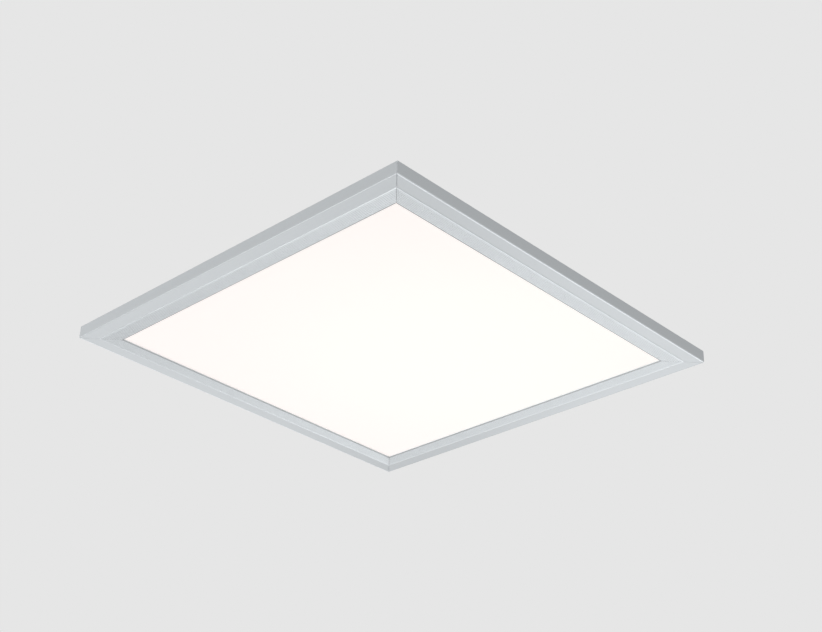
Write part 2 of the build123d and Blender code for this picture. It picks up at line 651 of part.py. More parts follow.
# Lock screws and press nuts, one pair in each end wall of the tray
for side, sign in SIDES.items():
    outward = Plane(origin=(sign * TRAY_INSIDE_X, 0, LOCK_Z), x_dir=(0, 1, 0), z_dir=(sign, 0, 0))
    with BuildPart() as press_nut:
        with BuildSketch(outward):
            Circle(PRESS_NUT_DIAMETER / 2)
            Circle(LOCK_DIAMETER / 2 + LOCK_FIT, mode=Mode.SUBTRACT)
        extrude(amount=-PRESS_NUT_LENGTH)
    save(press_nut, f"press_nut_{side}")

    with BuildPart() as lock_screw:
        tip_depth = TRAY_INSIDE_X - TAB_FACE_X - LOCK_TIP_GAP
        head_start = TRAY_THICK + LOCK_HEAD_GAP
        with BuildSketch(outward.offset(-tip_depth)):
            Circle(LOCK_DIAMETER / 2)
        extrude(amount=tip_depth + head_start)
        with BuildSketch(outward.offset(head_start)):
            Circle(LOCK_HEAD_DIAMETER / 2)
        extrude(amount=LOCK_HEAD_LENGTH)
        head_rims = lock_screw.edges().filter_by(GeomType.CIRCLE).sort_by(Edge.length)[-2:]
        chamfer(head_rims, LOCK_HEAD_CHAMFER)
        with BuildSketch(outward.offset(head_start)):
            with PolarLocations(LOCK_HEAD_DIAMETER / 2, KNURL_COUNT):
                Circle(KNURL_DEPTH)
        extrude(amount=LOCK_HEAD_LENGTH, mode=Mode.SUBTRACT)
    save(lock_screw, f"lock_screw_{side}")

# Driver case base: an open box with an ear at each end and posts for the board
with BuildPart() as driver_base:
    with BuildSketch(Plane.XY.offset(TRAY_FLOOR)):
        with Locations((0, DRIVER_Y)):
            RectangleRounded(DRIVER_LENGTH, DRIVER_WIDTH, DRIVER_CORNER)
    extrude(amount=DRIVER_BASE_HEIGHT)
    with BuildSketch(Plane.XY.offset(TRAY_FLOOR + DRIVER_WALL)):
        with Locations((0, DRIVER_Y)):
            RectangleRounded(
                DRIVER_LENGTH - 2 * DRIVER_WALL,
                DRIVER_WIDTH - 2 * DRIVER_WALL,
                DRIVER_CORNER - DRIVER_WALL,
            )
    extrude(amount=DRIVER_BASE_HEIGHT, mode=Mode.SUBTRACT)
    with BuildSketch(Plane.XY.offset(TRAY_FLOOR)):
        with Locations((-DRIVER_EAR_X, DRIVER_Y), (DRIVER_EAR_X, DRIVER_Y)):
            Rectangle(EAR_LENGTH, EAR_WIDTH)
            Circle(STUD_DIAMETER / 2 + STUD_CLEAR, mode=Mode.SUBTRACT)
    extrude(amount=EAR_THICK)
    post_x = BOARD_LENGTH / 2 - BOARD_POST_INSET
    post_y = BOARD_WIDTH / 2 - BOARD_POST_INSET
    with BuildSketch(Plane.XY.offset(TRAY_FLOOR + DRIVER_WALL)):
        with Locations((0, DRIVER_Y)):
            with GridLocations(2 * post_x, 2 * post_y, 2, 2):
                Circle(BOARD_POST_DIAMETER / 2)
    extrude(amount=BOARD_POST_HEIGHT)
    with BuildSketch(Plane.YZ):
        with Locations((DRIVER_Y, ENTRY_Z)):
            with GridLocations(MAINS_LEAD_SPACING, 0, 2, 1):
                Circle(MAINS_LEAD_DIAMETER / 2 + LEAD_HOLE_CLEAR)
    extrude(amount=DRIVER_LENGTH, mode=Mode.SUBTRACT)
    with BuildSketch(Plane.YZ):
        with Locations((DRIVER_Y, ENTRY_Z)):
            Circle(STRIP_LEAD_DIAMETER / 2 + LEAD_HOLE_CLEAR)
    extrude(amount=-DRIVER_LENGTH, mode=Mode.SUBTRACT)
save(driver_base, "driver_base")

# Driver case cover: a shallow lid with vents and a rim that drops inside the base
with BuildPart() as driver_cover:
    rim_length = DRIVER_LENGTH - 2 * (DRIVER_WALL + DRIVER_RIM_CLEAR)
    rim_width = DRIVER_WIDTH - 2 * (DRIVER_WALL + DRIVER_RIM_CLEAR)
    with BuildSketch(Plane.XY.offset(DRIVER_BASE_TOP)):
        with Locations((0, DRIVER_Y)):
            RectangleRounded(DRIVER_LENGTH, DRIVER_WIDTH, DRIVER_CORNER)
    extrude(amount=DRIVER_COVER_HEIGHT)
    fillet(driver_cover.faces().sort_by(Axis.Z)[-1].edges(), DRIVER_WALL / 2)
    with BuildSketch(Plane.XY.offset(DRIVER_BASE_TOP)):
        with Locations((0, DRIVER_Y)):
            RectangleRounded(rim_length, rim_width, DRIVER_CORNER - DRIVER_WALL)
    extrude(amount=-DRIVER_RIM_DEPTH)
    with BuildSketch(Plane.XY.offset(DRIVER_BASE_TOP - DRIVER_RIM_DEPTH)):
        with Locations((0, DRIVER_Y)):
            Rectangle(rim_length - 2 * DRIVER_RIM_THICK, rim_width - 2 * DRIVER_RIM_THICK)
    extrude(amount=DRIVER_RIM_DEPTH + DRIVER_COVER_HEIGHT - DRIVER_WALL, mode=Mode.SUBTRACT)
    with BuildSketch(Plane.XY.offset(DRIVER_TOP - DRIVER_WALL)):
        with Locations((0, DRIVER_Y)):
            with GridLocations(VENT_PITCH, 0, VENT_COUNT, 1):
                SlotOverall(VENT_LENGTH, VENT_WIDTH, rotation=90)
    extrude(amount=DRIVER_WALL, mode=Mode.SUBTRACT)
save(driver_cover, "driver_cover")

# Driver board and its components
with BuildPart() as driver_board:
    with BuildSketch(Plane.XY.offset(BOARD_BASE)):
        with Locations((0, DRIVER_Y)):
            Rectangle(BOARD_LENGTH, BOARD_WIDTH)
    extrude(amount=BOARD_THICK)
save(driver_board, "driver_board")

with BuildPart() as driver_transformer:
    transformer_height = COMPONENT_ROOM - TRANSFORMER_ROOM
    transformer_x = TRANSFORMER_PLACE * BOARD_LENGTH
    with BuildSketch(Plane.XY.offset(BOARD_TOP)):
        with Locations((transformer_x, DRIVER_Y)):
            RectangleRounded(TRANSFORMER_LENGTH, TRANSFORMER_WIDTH, TRANSFORMER_CORE_OVERHANG)
    extrude(amount=transformer_height - TRANSFORMER_CORE_OVERHANG)
    with BuildSketch(Plane.XY.offset(BOARD_TOP)):
        with Locations((transformer_x, DRIVER_Y)):
            Rectangle(TRANSFORMER_LENGTH + 2 * TRANSFORMER_CORE_OVERHANG, TRANSFORMER_CORE_WIDTH)
    extrude(amount=transformer_height)
save(driver_transformer, "driver_transformer")

for name, diameter, place in (
    ("driver_input_capacitor", INPUT_CAPACITOR_DIAMETER, INPUT_CAPACITOR_PLACE),
    ("driver_output_capacitor", OUTPUT_CAPACITOR_DIAMETER, OUTPUT_CAPACITOR_PLACE),
):
    with BuildPart() as capacitor:
        with BuildSketch(Plane.XY.offset(BOARD_TOP)):
            with Locations((place * BOARD_LENGTH, DRIVER_Y)):
                Circle(diameter / 2)
        extrude(amount=COMPONENT_ROOM - CAPACITOR_ROOM)
        fillet(capacitor.edges().filter_by(GeomType.CIRCLE), CAPACITOR_ROUND)
    save(capacitor, name)

with BuildPart() as driver_choke:
    choke_height = COMPONENT_ROOM - CHOKE_ROOM
    for base, height, radius in (
        (0, choke_height, CHOKE_DIAMETER / 2 - CHOKE_WAIST),
        (0, CHOKE_FLANGE, CHOKE_DIAMETER / 2),
        (choke_height - CHOKE_FLANGE, CHOKE_FLANGE, CHOKE_DIAMETER / 2),
    ):
        with BuildSketch(Plane.XY.offset(BOARD_TOP + base)):
            with Locations((CHOKE_PLACE * BOARD_LENGTH, DRIVER_Y)):
                Circle(radius)
        extrude(amount=height)
save(driver_choke, "driver_choke")

with BuildPart() as driver_fuse:
    with BuildSketch(Plane.XY.offset(BOARD_TOP)):
        with Locations((FUSE_PLACE * BOARD_LENGTH, DRIVER_Y)):
            SlotOverall(FUSE_WIDTH, FUSE_LENGTH, rotation=90)
    extrude(amount=COMPONENT_ROOM - FUSE_ROOM)
save(driver_fuse, "driver_fuse")

with BuildPart() as driver_switch:
    with BuildSketch(Plane.XY.offset(BOARD_TOP)):
        with Locations((SWITCH_PLACE * BOARD_LENGTH, DRIVER_Y + SWITCH_Y)):
            Rectangle(SWITCH_LENGTH, SWITCH_WIDTH)
    extrude(amount=SWITCH_HEIGHT)
save(driver_switch, "driver_switch")

# Terminal body: three poles, each with a wire way right through and a pocket for its release button
with BuildPart() as terminal_body:
    with BuildSketch(Plane.XY.offset(TRAY_FLOOR)):
        with Locations((TERMINAL_X, TERMINAL_Y)):
            RectangleRounded(TERMINAL_LENGTH, TERMINAL_DEPTH, TERMINAL_CORNER)
    extrude(amount=TERMINAL_HEIGHT)
    fillet(terminal_body.faces().sort_by(Axis.Z)[-1].edges(), TERMINAL_CORNER / 2)
    with BuildSketch(Plane.XY.offset(TRAY_FLOOR)):
        with Locations((TERMINAL_X - TERMINAL_EAR_X, TERMINAL_Y), (TERMINAL_X + TERMINAL_EAR_X, TERMINAL_Y)):
            Rectangle(EAR_LENGTH, EAR_WIDTH)
            Circle(STUD_DIAMETER / 2 + STUD_CLEAR, mode=Mode.SUBTRACT)
    extrude(amount=EAR_THICK)
    pocket_floor = TERMINAL_TOP + BUTTON_PROUD - BUTTON_HEIGHT - BUTTON_TRAVEL - BUTTON_FLOOR_GAP
    with BuildSketch(Plane.XY.offset(pocket_floor)):
        with Locations((TERMINAL_X, BUTTON_Y)):
            with GridLocations(POLE_PITCH, 0, len(POLES), 1):
                Rectangle(BUTTON_WIDTH + 2 * BUTTON_CLEAR, BUTTON_LENGTH + 2 * BUTTON_CLEAR)
    extrude(amount=TERMINAL_HEIGHT, mode=Mode.SUBTRACT)
    with BuildSketch(Plane.XZ.offset(-TERMINAL_Y)):
        with Locations((TERMINAL_X, WIRE_Z)):
            with GridLocations(POLE_PITCH, 0, len(POLES), 1):
                Rectangle(WIRE_ENTRY, WIRE_ENTRY)
    extrude(amount=TERMINAL_DEPTH, both=True, mode=Mode.SUBTRACT)
save(terminal_body, "terminal_body")

# Terminal contacts: a brass strip on the floor of each wire way, with an upright leaf
with BuildPart() as terminal_contacts:
    contact_base = WIRE_Z - WIRE_ENTRY / 2
    contact_width = WIRE_ENTRY - 2 * CONTACT_SIDE_CLEAR
    for length, height in ((CONTACT_LENGTH, CONTACT_THICK), (CONTACT_THICK, CONTACT_LEAF_HEIGHT)):
        with BuildSketch(Plane.XY.offset(contact_base)):
            with Locations((TERMINAL_X, TERMINAL_Y)):
                with GridLocations(POLE_PITCH, 0, len(POLES), 1):
                    Rectangle(contact_width, length)
        extrude(amount=height)
save(terminal_contacts, "terminal_contacts")

# Release buttons
for pole in POLES:
    with BuildPart() as terminal_button:
        with BuildSketch(Plane.XY.offset(TERMINAL_TOP + BUTTON_PROUD)):
            with Locations((pole_x(pole), BUTTON_Y)):
                Rectangle(BUTTON_WIDTH, BUTTON_LENGTH)
        extrude(amount=-BUTTON_HEIGHT)
        fillet(terminal_button.faces().sort_by(Axis.Z)[-1].edges(), BUTTON_EDGE)
    save(terminal_button, f"terminal_button_{pole}")

# Clinch studs in the tray's floor, and their nuts
with BuildPart() as tray_studs:
    with Locations(*ear_points(TRAY_FLOOR), (EARTH_X, EARTH_Y, TRAY_FLOOR)):
        Cylinder(STUD_DIAMETER / 2, STUD_HEIGHT, align=(Align.CENTER, Align.CENTER, Align.MIN))
save(tray_studs, "tray_studs")

with BuildPart() as stud_nut:
    with BuildSketch():
        RegularPolygon(NUT_ACROSS_FLATS / 2, 6, major_radius=False)
        Circle(STUD_DIAMETER / 2 + NUT_FIT, mode=Mode.SUBTRACT)
    extrude(amount=NUT_HEIGHT)

with BuildPart() as stud_nuts:
    with Locations(*ear_points(TRAY_FLOOR + EAR_THICK), (EARTH_X, EARTH_Y, TRAY_FLOOR + LUG_THICK)):
        add(stud_nut.part)
save(stud_nuts, "stud_nuts")

# Earth lug: a ring under its nut, with a crimp barrel towards the back
with BuildPart() as earth_lug:
    barrel_z = TRAY_FLOOR + LUG_BARREL_LIFT + LUG_BARREL_DIAMETER / 2
    barrel_start = EARTH_Y + LUG_RING_DIAMETER / 2
    with BuildSketch(Plane.XY.offset(TRAY_FLOOR)):
        with Locations((EARTH_X, EARTH_Y)):
            Circle(LUG_RING_DIAMETER / 2)
        with Locations((EARTH_X, EARTH_Y + LUG_RING_DIAMETER / 2)):
            Rectangle(LUG_BARREL_DIAMETER, LUG_RING_DIAMETER)
        with Locations((EARTH_X, EARTH_Y)):
            Circle(STUD_DIAMETER / 2 + STUD_CLEAR, mode=Mode.SUBTRACT)
    extrude(amount=LUG_THICK)
    with BuildSketch(Plane.XZ.offset(-barrel_start)):
        with Locations((EARTH_X, barrel_z)):
            Circle(LUG_BARREL_DIAMETER / 2)
    extrude(amount=-LUG_BARREL_LENGTH)
save(earth_lug, "earth_lug")

# Grommet where the strip lead comes up through the cover and the tray's floor
with BuildPart() as lead_grommet:
    neck_radius = GROMMET_HOLE / 2 - GROMMET_FIT
    flange_radius = GROMMET_HOLE / 2 + GROMMET_FLANGE
    with BuildSketch(Plane.XY.offset(COVER_BASE)):
        with Locations((EXIT_X, DRIVER_Y)):
            Circle(neck_radius)
    extrude(amount=TRAY_FLOOR - COVER_BASE)
    with BuildSketch(Plane.XY.offset(TRAY_FLOOR)):
        with Locations((EXIT_X, DRIVER_Y)):
            Circle(flange_radius)
    extrude(amount=GROMMET_FLANGE_THICK)
    with Locations((EXIT_X, DRIVER_Y, TRAY_FLOOR)):
        Hole(GROMMET_BORE / 2)
save(lead_grommet, "lead_grommet")

# Leads: each one's route, the bend at each corner and its diameter
BOARD_END_Y = LED_BOARD_LENGTH / 2
ENTRY_LEFT = -SOLDER_X
LEAD_START_Y = TERMINAL_Y + CONTACT_LENGTH / 2
LUG_END_Y = EARTH_Y + LUG_RING_DIAMETER / 2 + LUG_BARREL_LENGTH
LUG_Z = TRAY_FLOOR + LUG_BARREL_LIFT + LUG_BARREL_DIAMETER / 2
RISE_X = DRIVER_LENGTH / 2 + EAR_LENGTH + SOLDER_BEND


def mains_route(pole, entry_side, outward_step):
    """Return a lead's route from the terminal round the tray's right side to the driver board."""
    x = pole_x(pole)
    run_x = SIDE_RUN_X + outward_step
    run_y = BACK_RUN_Y + outward_step
    entry_y = DRIVER_Y + entry_side * MAINS_LEAD_SPACING / 2
    return [
        (x, LEAD_START_Y, WIRE_Z),
        (x, run_y, WIRE_Z),
        (run_x, run_y, SIDE_RUN_Z),
        (run_x, entry_y, SIDE_RUN_Z),
        (RISE_X, entry_y, ENTRY_Z),
        (SOLDER_X, entry_y, ENTRY_Z),
        (SOLDER_X, entry_y, BOARD_TOP),
    ]


MAINS_BENDS = [CORNER_BEND, CORNER_BEND, CORNER_BEND, CORNER_BEND, SOLDER_BEND]
LEADS = {
    "strip_link_lead": (
        [
            (-STRIP_LEAD_X, BOARD_END_Y, STRIP_LEAD_Z),
            (-STRIP_LEAD_X, STRIP_LEAD_Y, STRIP_LEAD_Z),
            (STRIP_LEAD_X, STRIP_LEAD_Y, STRIP_LEAD_Z),
            (STRIP_LEAD_X, BOARD_END_Y, STRIP_LEAD_Z),
        ],
        [STRIP_LEAD_BEND, STRIP_LEAD_BEND],
        STRIP_LEAD_DIAMETER,
    ),
    "led_lead": (
        [
            (-STRIP_LEAD_X, -BOARD_END_Y, STRIP_LEAD_Z),
            (-STRIP_LEAD_X, -STRIP_LEAD_Y, STRIP_LEAD_Z),
            (EXIT_X, -STRIP_LEAD_Y, STRIP_LEAD_Z),
            (EXIT_X, DRIVER_Y, STRIP_LEAD_Z),
            (EXIT_X, DRIVER_Y, ENTRY_Z),
            (ENTRY_LEFT, DRIVER_Y, ENTRY_Z),
            (ENTRY_LEFT, DRIVER_Y, BOARD_TOP),
        ],
        [STRIP_LEAD_BEND, STRIP_LEAD_BEND, EXIT_BEND, RISE_BEND, SOLDER_BEND],
        STRIP_LEAD_DIAMETER,
    ),
    "live_lead": (mains_route("live", 1, 0.0), MAINS_BENDS, MAINS_LEAD_DIAMETER),
    "neutral_lead": (mains_route("neutral", -1, MAINS_LEAD_SPACING), MAINS_BENDS, MAINS_LEAD_DIAMETER),
    "earth_lead": (
        [
            (pole_x("earth"), LEAD_START_Y, WIRE_Z),
            (pole_x("earth"), BACK_RUN_Y, WIRE_Z),
            (EARTH_X, BACK_RUN_Y + MAINS_LEAD_SPACING, LUG_Z),
            (EARTH_X, LUG_END_Y, LUG_Z),
        ],
        [CORNER_BEND, CORNER_BEND],
        MAINS_LEAD_DIAMETER,
    ),
}

for name, (points, bends, diameter) in LEADS.items():
    with BuildPart() as lead:
        with BuildLine() as route:
            FilletPolyline(*points, radius=bends)
        with BuildSketch(Plane(points[0], z_dir=Vector(points[1]) - Vector(points[0]))):
            Circle(diameter / 2)
        sweep(path=route.line)
    report_lead(name, lead, route, bends, diameter)
    save(lead, name)

# Lead clip: a saddle stuck to the tray's floor that holds the two supply leads on their way to the driver
with BuildPart() as lead_clip:
    clip_x = SIDE_RUN_X + MAINS_LEAD_SPACING / 2
    clip_hole = MAINS_LEAD_DIAMETER / 2 + CLIP_FIT
    clip_height = MAINS_LEAD_LIFT + clip_hole + CLIP_WALL
    clip_width = MAINS_LEAD_SPACING + 2 * (clip_hole + CLIP_WALL)
    with BuildSketch(Plane.XY.offset(TRAY_FLOOR)):
        with Locations((clip_x, CLIP_Y)):
            Rectangle(CLIP_BASE_WIDTH, CLIP_LENGTH)
    extrude(amount=CLIP_BASE_THICK)
    with BuildSketch(Plane.XY.offset(TRAY_FLOOR)):
        with Locations((clip_x, CLIP_Y)):
            Rectangle(clip_width, CLIP_LENGTH)
    extrude(amount=clip_height)
    fillet(lead_clip.faces().sort_by(Axis.Z)[-1].edges().filter_by(Axis.Y), CLIP_WALL)
    with BuildSketch(Plane.XZ.offset(-CLIP_Y)):
        with Locations((clip_x, SIDE_RUN_Z)):
            with GridLocations(MAINS_LEAD_SPACING, 0, 2, 1):
                Circle(clip_hole)
    extrude(amount=CLIP_LENGTH, both=True, mode=Mode.SUBTRACT)
save(lead_clip, "lead_clip")
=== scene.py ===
"""Finished look of a square edge-lit LED panel ceiling light, in metres, +Z up into the ceiling.

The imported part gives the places. This file adds the frame extrusions, the fasteners, rounded sheet and
moulded edges, the finishes and a plain stage. Left is -X, right is +X, front is -Y and back is +Y.
"""

import json
from math import asin, cos, pi, radians, sin, tau

import bmesh
import bpy
from bpy.props import FloatProperty, FloatVectorProperty, IntProperty, PointerProperty
from mathutils import Matrix, Vector


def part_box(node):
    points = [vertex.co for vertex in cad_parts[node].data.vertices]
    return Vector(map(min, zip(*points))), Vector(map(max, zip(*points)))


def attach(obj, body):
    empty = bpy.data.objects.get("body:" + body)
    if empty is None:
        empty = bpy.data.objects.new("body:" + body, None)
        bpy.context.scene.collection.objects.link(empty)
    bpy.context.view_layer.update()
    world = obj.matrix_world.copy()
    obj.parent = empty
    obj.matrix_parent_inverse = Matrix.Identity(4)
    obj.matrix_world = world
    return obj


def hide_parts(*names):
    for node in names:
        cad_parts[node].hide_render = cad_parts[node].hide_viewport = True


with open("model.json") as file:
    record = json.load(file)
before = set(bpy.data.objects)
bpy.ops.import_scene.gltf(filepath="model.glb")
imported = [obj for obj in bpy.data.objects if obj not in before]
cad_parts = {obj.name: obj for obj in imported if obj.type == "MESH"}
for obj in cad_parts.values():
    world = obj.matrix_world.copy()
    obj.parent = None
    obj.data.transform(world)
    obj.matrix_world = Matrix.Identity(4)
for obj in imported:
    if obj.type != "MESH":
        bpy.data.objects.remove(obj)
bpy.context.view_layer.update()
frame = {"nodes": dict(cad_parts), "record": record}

bl_info = {
    "name": "LED panel ceiling light",
    "version": (1, 0, 0),
    "blender": (4, 5, 0),
    "location": "3D View > Sidebar > Panel light",
    "description": "Builds the finished look of a square LED panel ceiling light on its packed frame",
    "category": "Object",
}

RECORD = frame["record"]
SLOT_OF = {part["node"]: part["material_slot"] for part in RECORD["subparts"]}
SLOT_COLOURS = {material["slot"]: material["base_color"] for material in RECORD["materials"]}
BODY_OF = {node: body for body, nodes in RECORD["behaviour"]["bodies"].items() for node in nodes}
SIDE_TURNS = {"front": 0, "right": 90, "back": 180, "left": 270}
ENDS = {"left": -1, "right": 1}
POLES = ("earth", "neutral", "live")

# Place, width and full power in watts of each lamp
LAMPS = {
    "below": ((0.1, -0.1, -2.2), 3.0, 8.0),
    "below_left": ((-0.5, 0.9, -2.0), 1.5, 11.0),
    "below_right": ((1.6, -0.4, -1.6), 1.2, 8.0),
    "beyond_left": ((1.3, 2.2, -1.5), 1.2, 3.2),
    "beyond_right": ((2.3, 1.2, -1.5), 1.2, 4.0),
    "side": ((-1.7, 1.3, -0.2), 2.0, 17.2),
    "near_corner": ((-0.7, -0.6, 0.1), 0.8, 2.4),
    "top": ((0.5, 0.8, 2.4), 2.6, 24.0),
}

# Welding and rounding of copied CAD meshes
WELD = 1e-6
FLAT_ANGLE = radians(0.5)
SHARP_ANGLE = radians(35)
EDGE_SEGMENTS = 2
SOFT_EDGE_SEGMENTS = 3

# Facets of arcs, turned shapes and threads
ARC_STEPS = 8
QUARTER_TURN = [pi / 2 * step / ARC_STEPS for step in range(ARC_STEPS + 1)]
TURNED_SEGMENTS = 32
NUT_SEGMENTS = 48
STUD_SEGMENTS = 20
THREAD_STEPS = 6

# Brightness of each line on the frame's face, as a share of the aluminium's own.
# These are painted light: a painted highlight on the arris, the ridge and the rib tops,
# painted shade in the grooves and on the land beside the window, and painted light
# from the diffuser on the lip. The painted arris highlight has one value for the sides
# along X and one for those along Y.
ARRIS_HIGHLIGHT = {"x": 1.35, "y": 0.95}
RIDGE_HIGHLIGHT = 1.2
RIB_TOP_HIGHLIGHT = 1.12
GROOVE_SHADE = 0.8
LAND_SHADE = 0.6
LIP_DIFFUSER_LIGHT = 1.6

# Rivet outlines as shares of the head's or the pit's radius and of the dome's rise
RIVET_DOME = ((1.0, 0.0), (1.0, 0.25), (0.9, 0.6), (0.68, 0.9), (0.45, 1.0))
RIVET_PIT = ((1.15, 1.0), (1.0, 0.9), (1.0, 0.3))

# Reach of a nut's chamfered face and of its blunted corners, as shares of its flats
NUT_FACE_REACH = 1.03
NUT_CORNER_REACH = 1.2

# Rim and floor of the dish in a lock screw's head, as shares of the head's radius
DISH_RIM = 0.62
DISH_FLOOR = 0.56


def length(name, description, default):
    """Return a length property."""
    return FloatProperty(
        name=name, description=description, default=default, unit="LENGTH", precision=5
    )


def angle(name, description, default):
    """Return an angle property."""
    return FloatProperty(name=name, description=description, default=default, subtype="ANGLE")


def level(name, description, default):
    """Return a plain number property."""
    return FloatProperty(name=name, description=description, default=default, min=0.0)


def whole(name, description, default, least=0):
    """Return a whole number property."""
    return IntProperty(name=name, description=description, default=default, min=least)


def colour(name, description, default):
    """Return a colour property."""
    return FloatVectorProperty(
        name=name, description=description, default=default, subtype="COLOR", size=3, min=0.0, max=1.0
    )


class PanelFrameSettings(bpy.types.PropertyGroup):
    """Section of the frame extrusion, measured from its outer wall and from its face"""

    face_width: length("Face width", "From the outer wall to the window", 0.021)
    face_thick: length("Face thickness", "Thickness of the face beside the window", 0.0008)
    wall_thick: length("Wall thickness", "Thickness of the outer wall", 0.0012)
    arris_radius: length("Arris radius", "Rounding between the outer wall and the face", 0.0004)
    plain_band: length("Plain band", "Width of the smooth outer band of the face", 0.0093)
    ridge_width: length("Ridge width", "Width of the single ridge", 0.0015)
    ridge_rise: length("Ridge rise", "How far the ridge stands out of the face", 0.00045)
    rib_count: whole("Rib count", "Ribs on the inner band", 8, least=1)
    rib_rise: length("Rib rise", "How far each rib stands out of the face", 0.00028)
    window_land: length("Window land", "Flat strip beside the window", 0.0006)
    web_inside: length("Web inside", "From the outer wall to the inner face of the web", 0.008)
    web_thick: length("Web thickness", "Thickness of the web that carries an LED strip", 0.001)
    shelf_thick: length("Shelf thickness", "Thickness of the shelf that the cover is screwed to", 0.001)
    rebate: length("Rebate", "Depth of the rebate that the back cover lies in", 0.001)
    joint: length("Mitre joint", "Gap left by each frame side, measured along the side", 0.00003)
    chamfer: length("Mitre chamfer", "Edge broken off the cut end of a side", 0.0002)


class FastenerSettings(bpy.types.PropertyGroup):
    """Sizes of the screws, studs, nuts and rivets"""

    screw_head: length("Cover screw head", "Diameter of the head", 0.0052)
    screw_head_height: length("Cover screw head height", "Height of the pan head", 0.0015)
    screw_shank: length("Cover screw shank", "Diameter of the shank", 0.0029)
    screw_length: length("Cover screw length", "Length under the head", 0.006)
    recess_length: length("Recess length", "Length of each arm of the cross recess", 0.003)
    recess_width: length("Recess width", "Width of each arm of the cross recess", 0.0007)
    recess_depth: length("Recess depth", "Depth of the cross recess", 0.0009)
    stud_diameter: length("Stud diameter", "Outside of the stud's thread", 0.003)
    thread_pitch: length("Thread pitch", "Pitch of the stud's thread", 0.0005)
    thread_depth: length("Thread depth", "Depth of the stud's thread", 0.0003)
    nut_flats: length("Nut across flats", "Width of a nut across its flats", 0.0055)
    nut_height: length("Nut height", "Height of a nut", 0.0024)
    nut_chamfer: length("Nut chamfer", "Height of the chamfers of a nut", 0.0003)
    nut_clearance: length("Nut clearance", "From the stud's thread to the nut's bore", 0.00006)
    rivet_head: length("Rivet head", "Diameter of the rivet's dome", 0.0064)
    rivet_rise: length("Rivet rise", "Height of the rivet's dome", 0.001)
    rivet_pit: length("Rivet pit", "Diameter of the pit left by the drawn pin", 0.0018)
    rivet_shank: length("Rivet shank", "Diameter of the rivet in its hole", 0.0032)
    rivet_tail: length("Rivet tail", "Diameter of the swollen tail", 0.0048)
    rivet_taper: length("Rivet taper", "Length over which the tail narrows", 0.0006)
    hook_shank: length("Hook shank", "Diameter of the hook stud's shank", 0.004)
    hook_head: length("Hook head", "Diameter of the hook stud's head", 0.008)
    hook_edge: length("Hook edge", "Rounding of the hook stud's head", 0.0006)
    hook_collar: length("Hook collar", "How far the riveted end spreads over the arm", 0.001)
    tray_sheet: length("Tray sheet", "Thickness of the tray's lip, which lies on the hook heads", 0.001)
    lock_head: length("Lock screw head", "Diameter over the knurl", 0.012)
    lock_head_height: length("Lock screw head height", "Height of the head", 0.006)
    lock_shank: length("Lock screw shank", "Diameter of the shank", 0.004)
    lock_tip: length("Lock screw tip", "Chamfer at the tip of the shank", 0.0005)
    lock_edge: length("Lock screw edge", "Chamfer at the foot of the head", 0.0006)
    lock_rim: length("Lock screw rim", "Chamfer round the top of the head", 0.0007)
    lock_dish: length("Lock screw dish", "Depth of the dish in the top of the head", 0.0004)
    lock_slot_width: length("Lock slot width", "Width of the screwdriver slot", 0.0012)
    lock_slot_depth: length("Lock slot depth", "Depth of the screwdriver slot", 0.0016)
    knurl_count: whole("Knurl count", "Ridges round the head", 24, least=3)
    knurl_rise: length("Knurl rise", "How far each ridge stands out", 0.0004)
    knurl_share: level("Knurl share", "Share of the head's girth that the ridges cover", 0.85)
    turn_seed: whole("Turn seed", "Seed for how each screw is left turned", 4)


class EdgeSettings(bpy.types.PropertyGroup):
    """Rounded edges of sheet, mouldings, rubber and foam, and the notch of a release button"""

    sheet: length("Sheet edge", "Rounding of the tray, the bracket and the press nuts", 0.0003)
    cover: length("Cover edge", "Rounding of the thin back cover", 0.0002)
    driver: length("Driver edge", "Rounding of the driver's base", 0.0003)
    moulding: length("Moulding edge", "Rounding of the other mouldings", 0.0002)
    bush: length("Bush edge", "Rounding of the cable bush", 0.0004)
    grommet: length("Grommet edge", "Rounding of the lead grommet", 0.0002)
    foam: length("Foam edge", "Rounding of the foam pad", 0.0005)
    lug: length("Lug edge", "Rounding of the earth lug's thin strip", 0.00005)
    notch: FloatVectorProperty(
        name="Notch",
        description="Length, width and twice the depth of a release button's notch",
        default=(0.0036, 0.0012, 0.0016),
        subtype="XYZ",
        unit="LENGTH",
    )


class StageSettings(bpy.types.PropertyGroup):
    """Camera, lights and backdrop"""

    camera_offset: FloatVectorProperty(
        name="Camera offset",
        description="From the middle of the panel's face to the camera",
        default=(-0.61708, -0.62549, -0.45701),
        subtype="TRANSLATION",
        unit="LENGTH",
    )
    yaw: angle("Yaw", "Heading of the view, from +X towards +Y", radians(44.62))
    pitch: angle("Pitch", "Rise of the view above the horizon", radians(28.83))
    roll: angle("Roll", "Turn of the camera about its line of sight", radians(2.08))
    lens: FloatProperty(name="Lens", description="Focal length in millimetres", default=65.04)
    backdrop: colour("Backdrop", "Colour behind the light", (0.791, 0.791, 0.791))
    ambient: level("Ambient", "Strength of the even light from all round", 0.33)
    lamp_level: level("Lamp level", "Share of every lamp's full power", 1.0)
    floor_drop: length("Floor drop", "From the ceiling down to the floor", 2.4)
    floor_reach: length("Floor reach", "From the middle of the floor to its edges", 40.0)
    floor_shade: level("Floor shade", "Share of the backdrop's colour on the floor's surface", 0.45)
    floor_lift: level("Floor lift", "Even brightness of the floor apart from its shading", 0.835)
    glow: level("Glow", "Strength of the diffuser's own light", 0.64)


class FinishSettings(bpy.types.PropertyGroup):
    """Base colour of each finish"""

    __annotations__ = {
        slot: colour(slot.replace("_", " ").capitalize(), "Base colour of this finish", base)
        for slot, base in SLOT_COLOURS.items()
    }


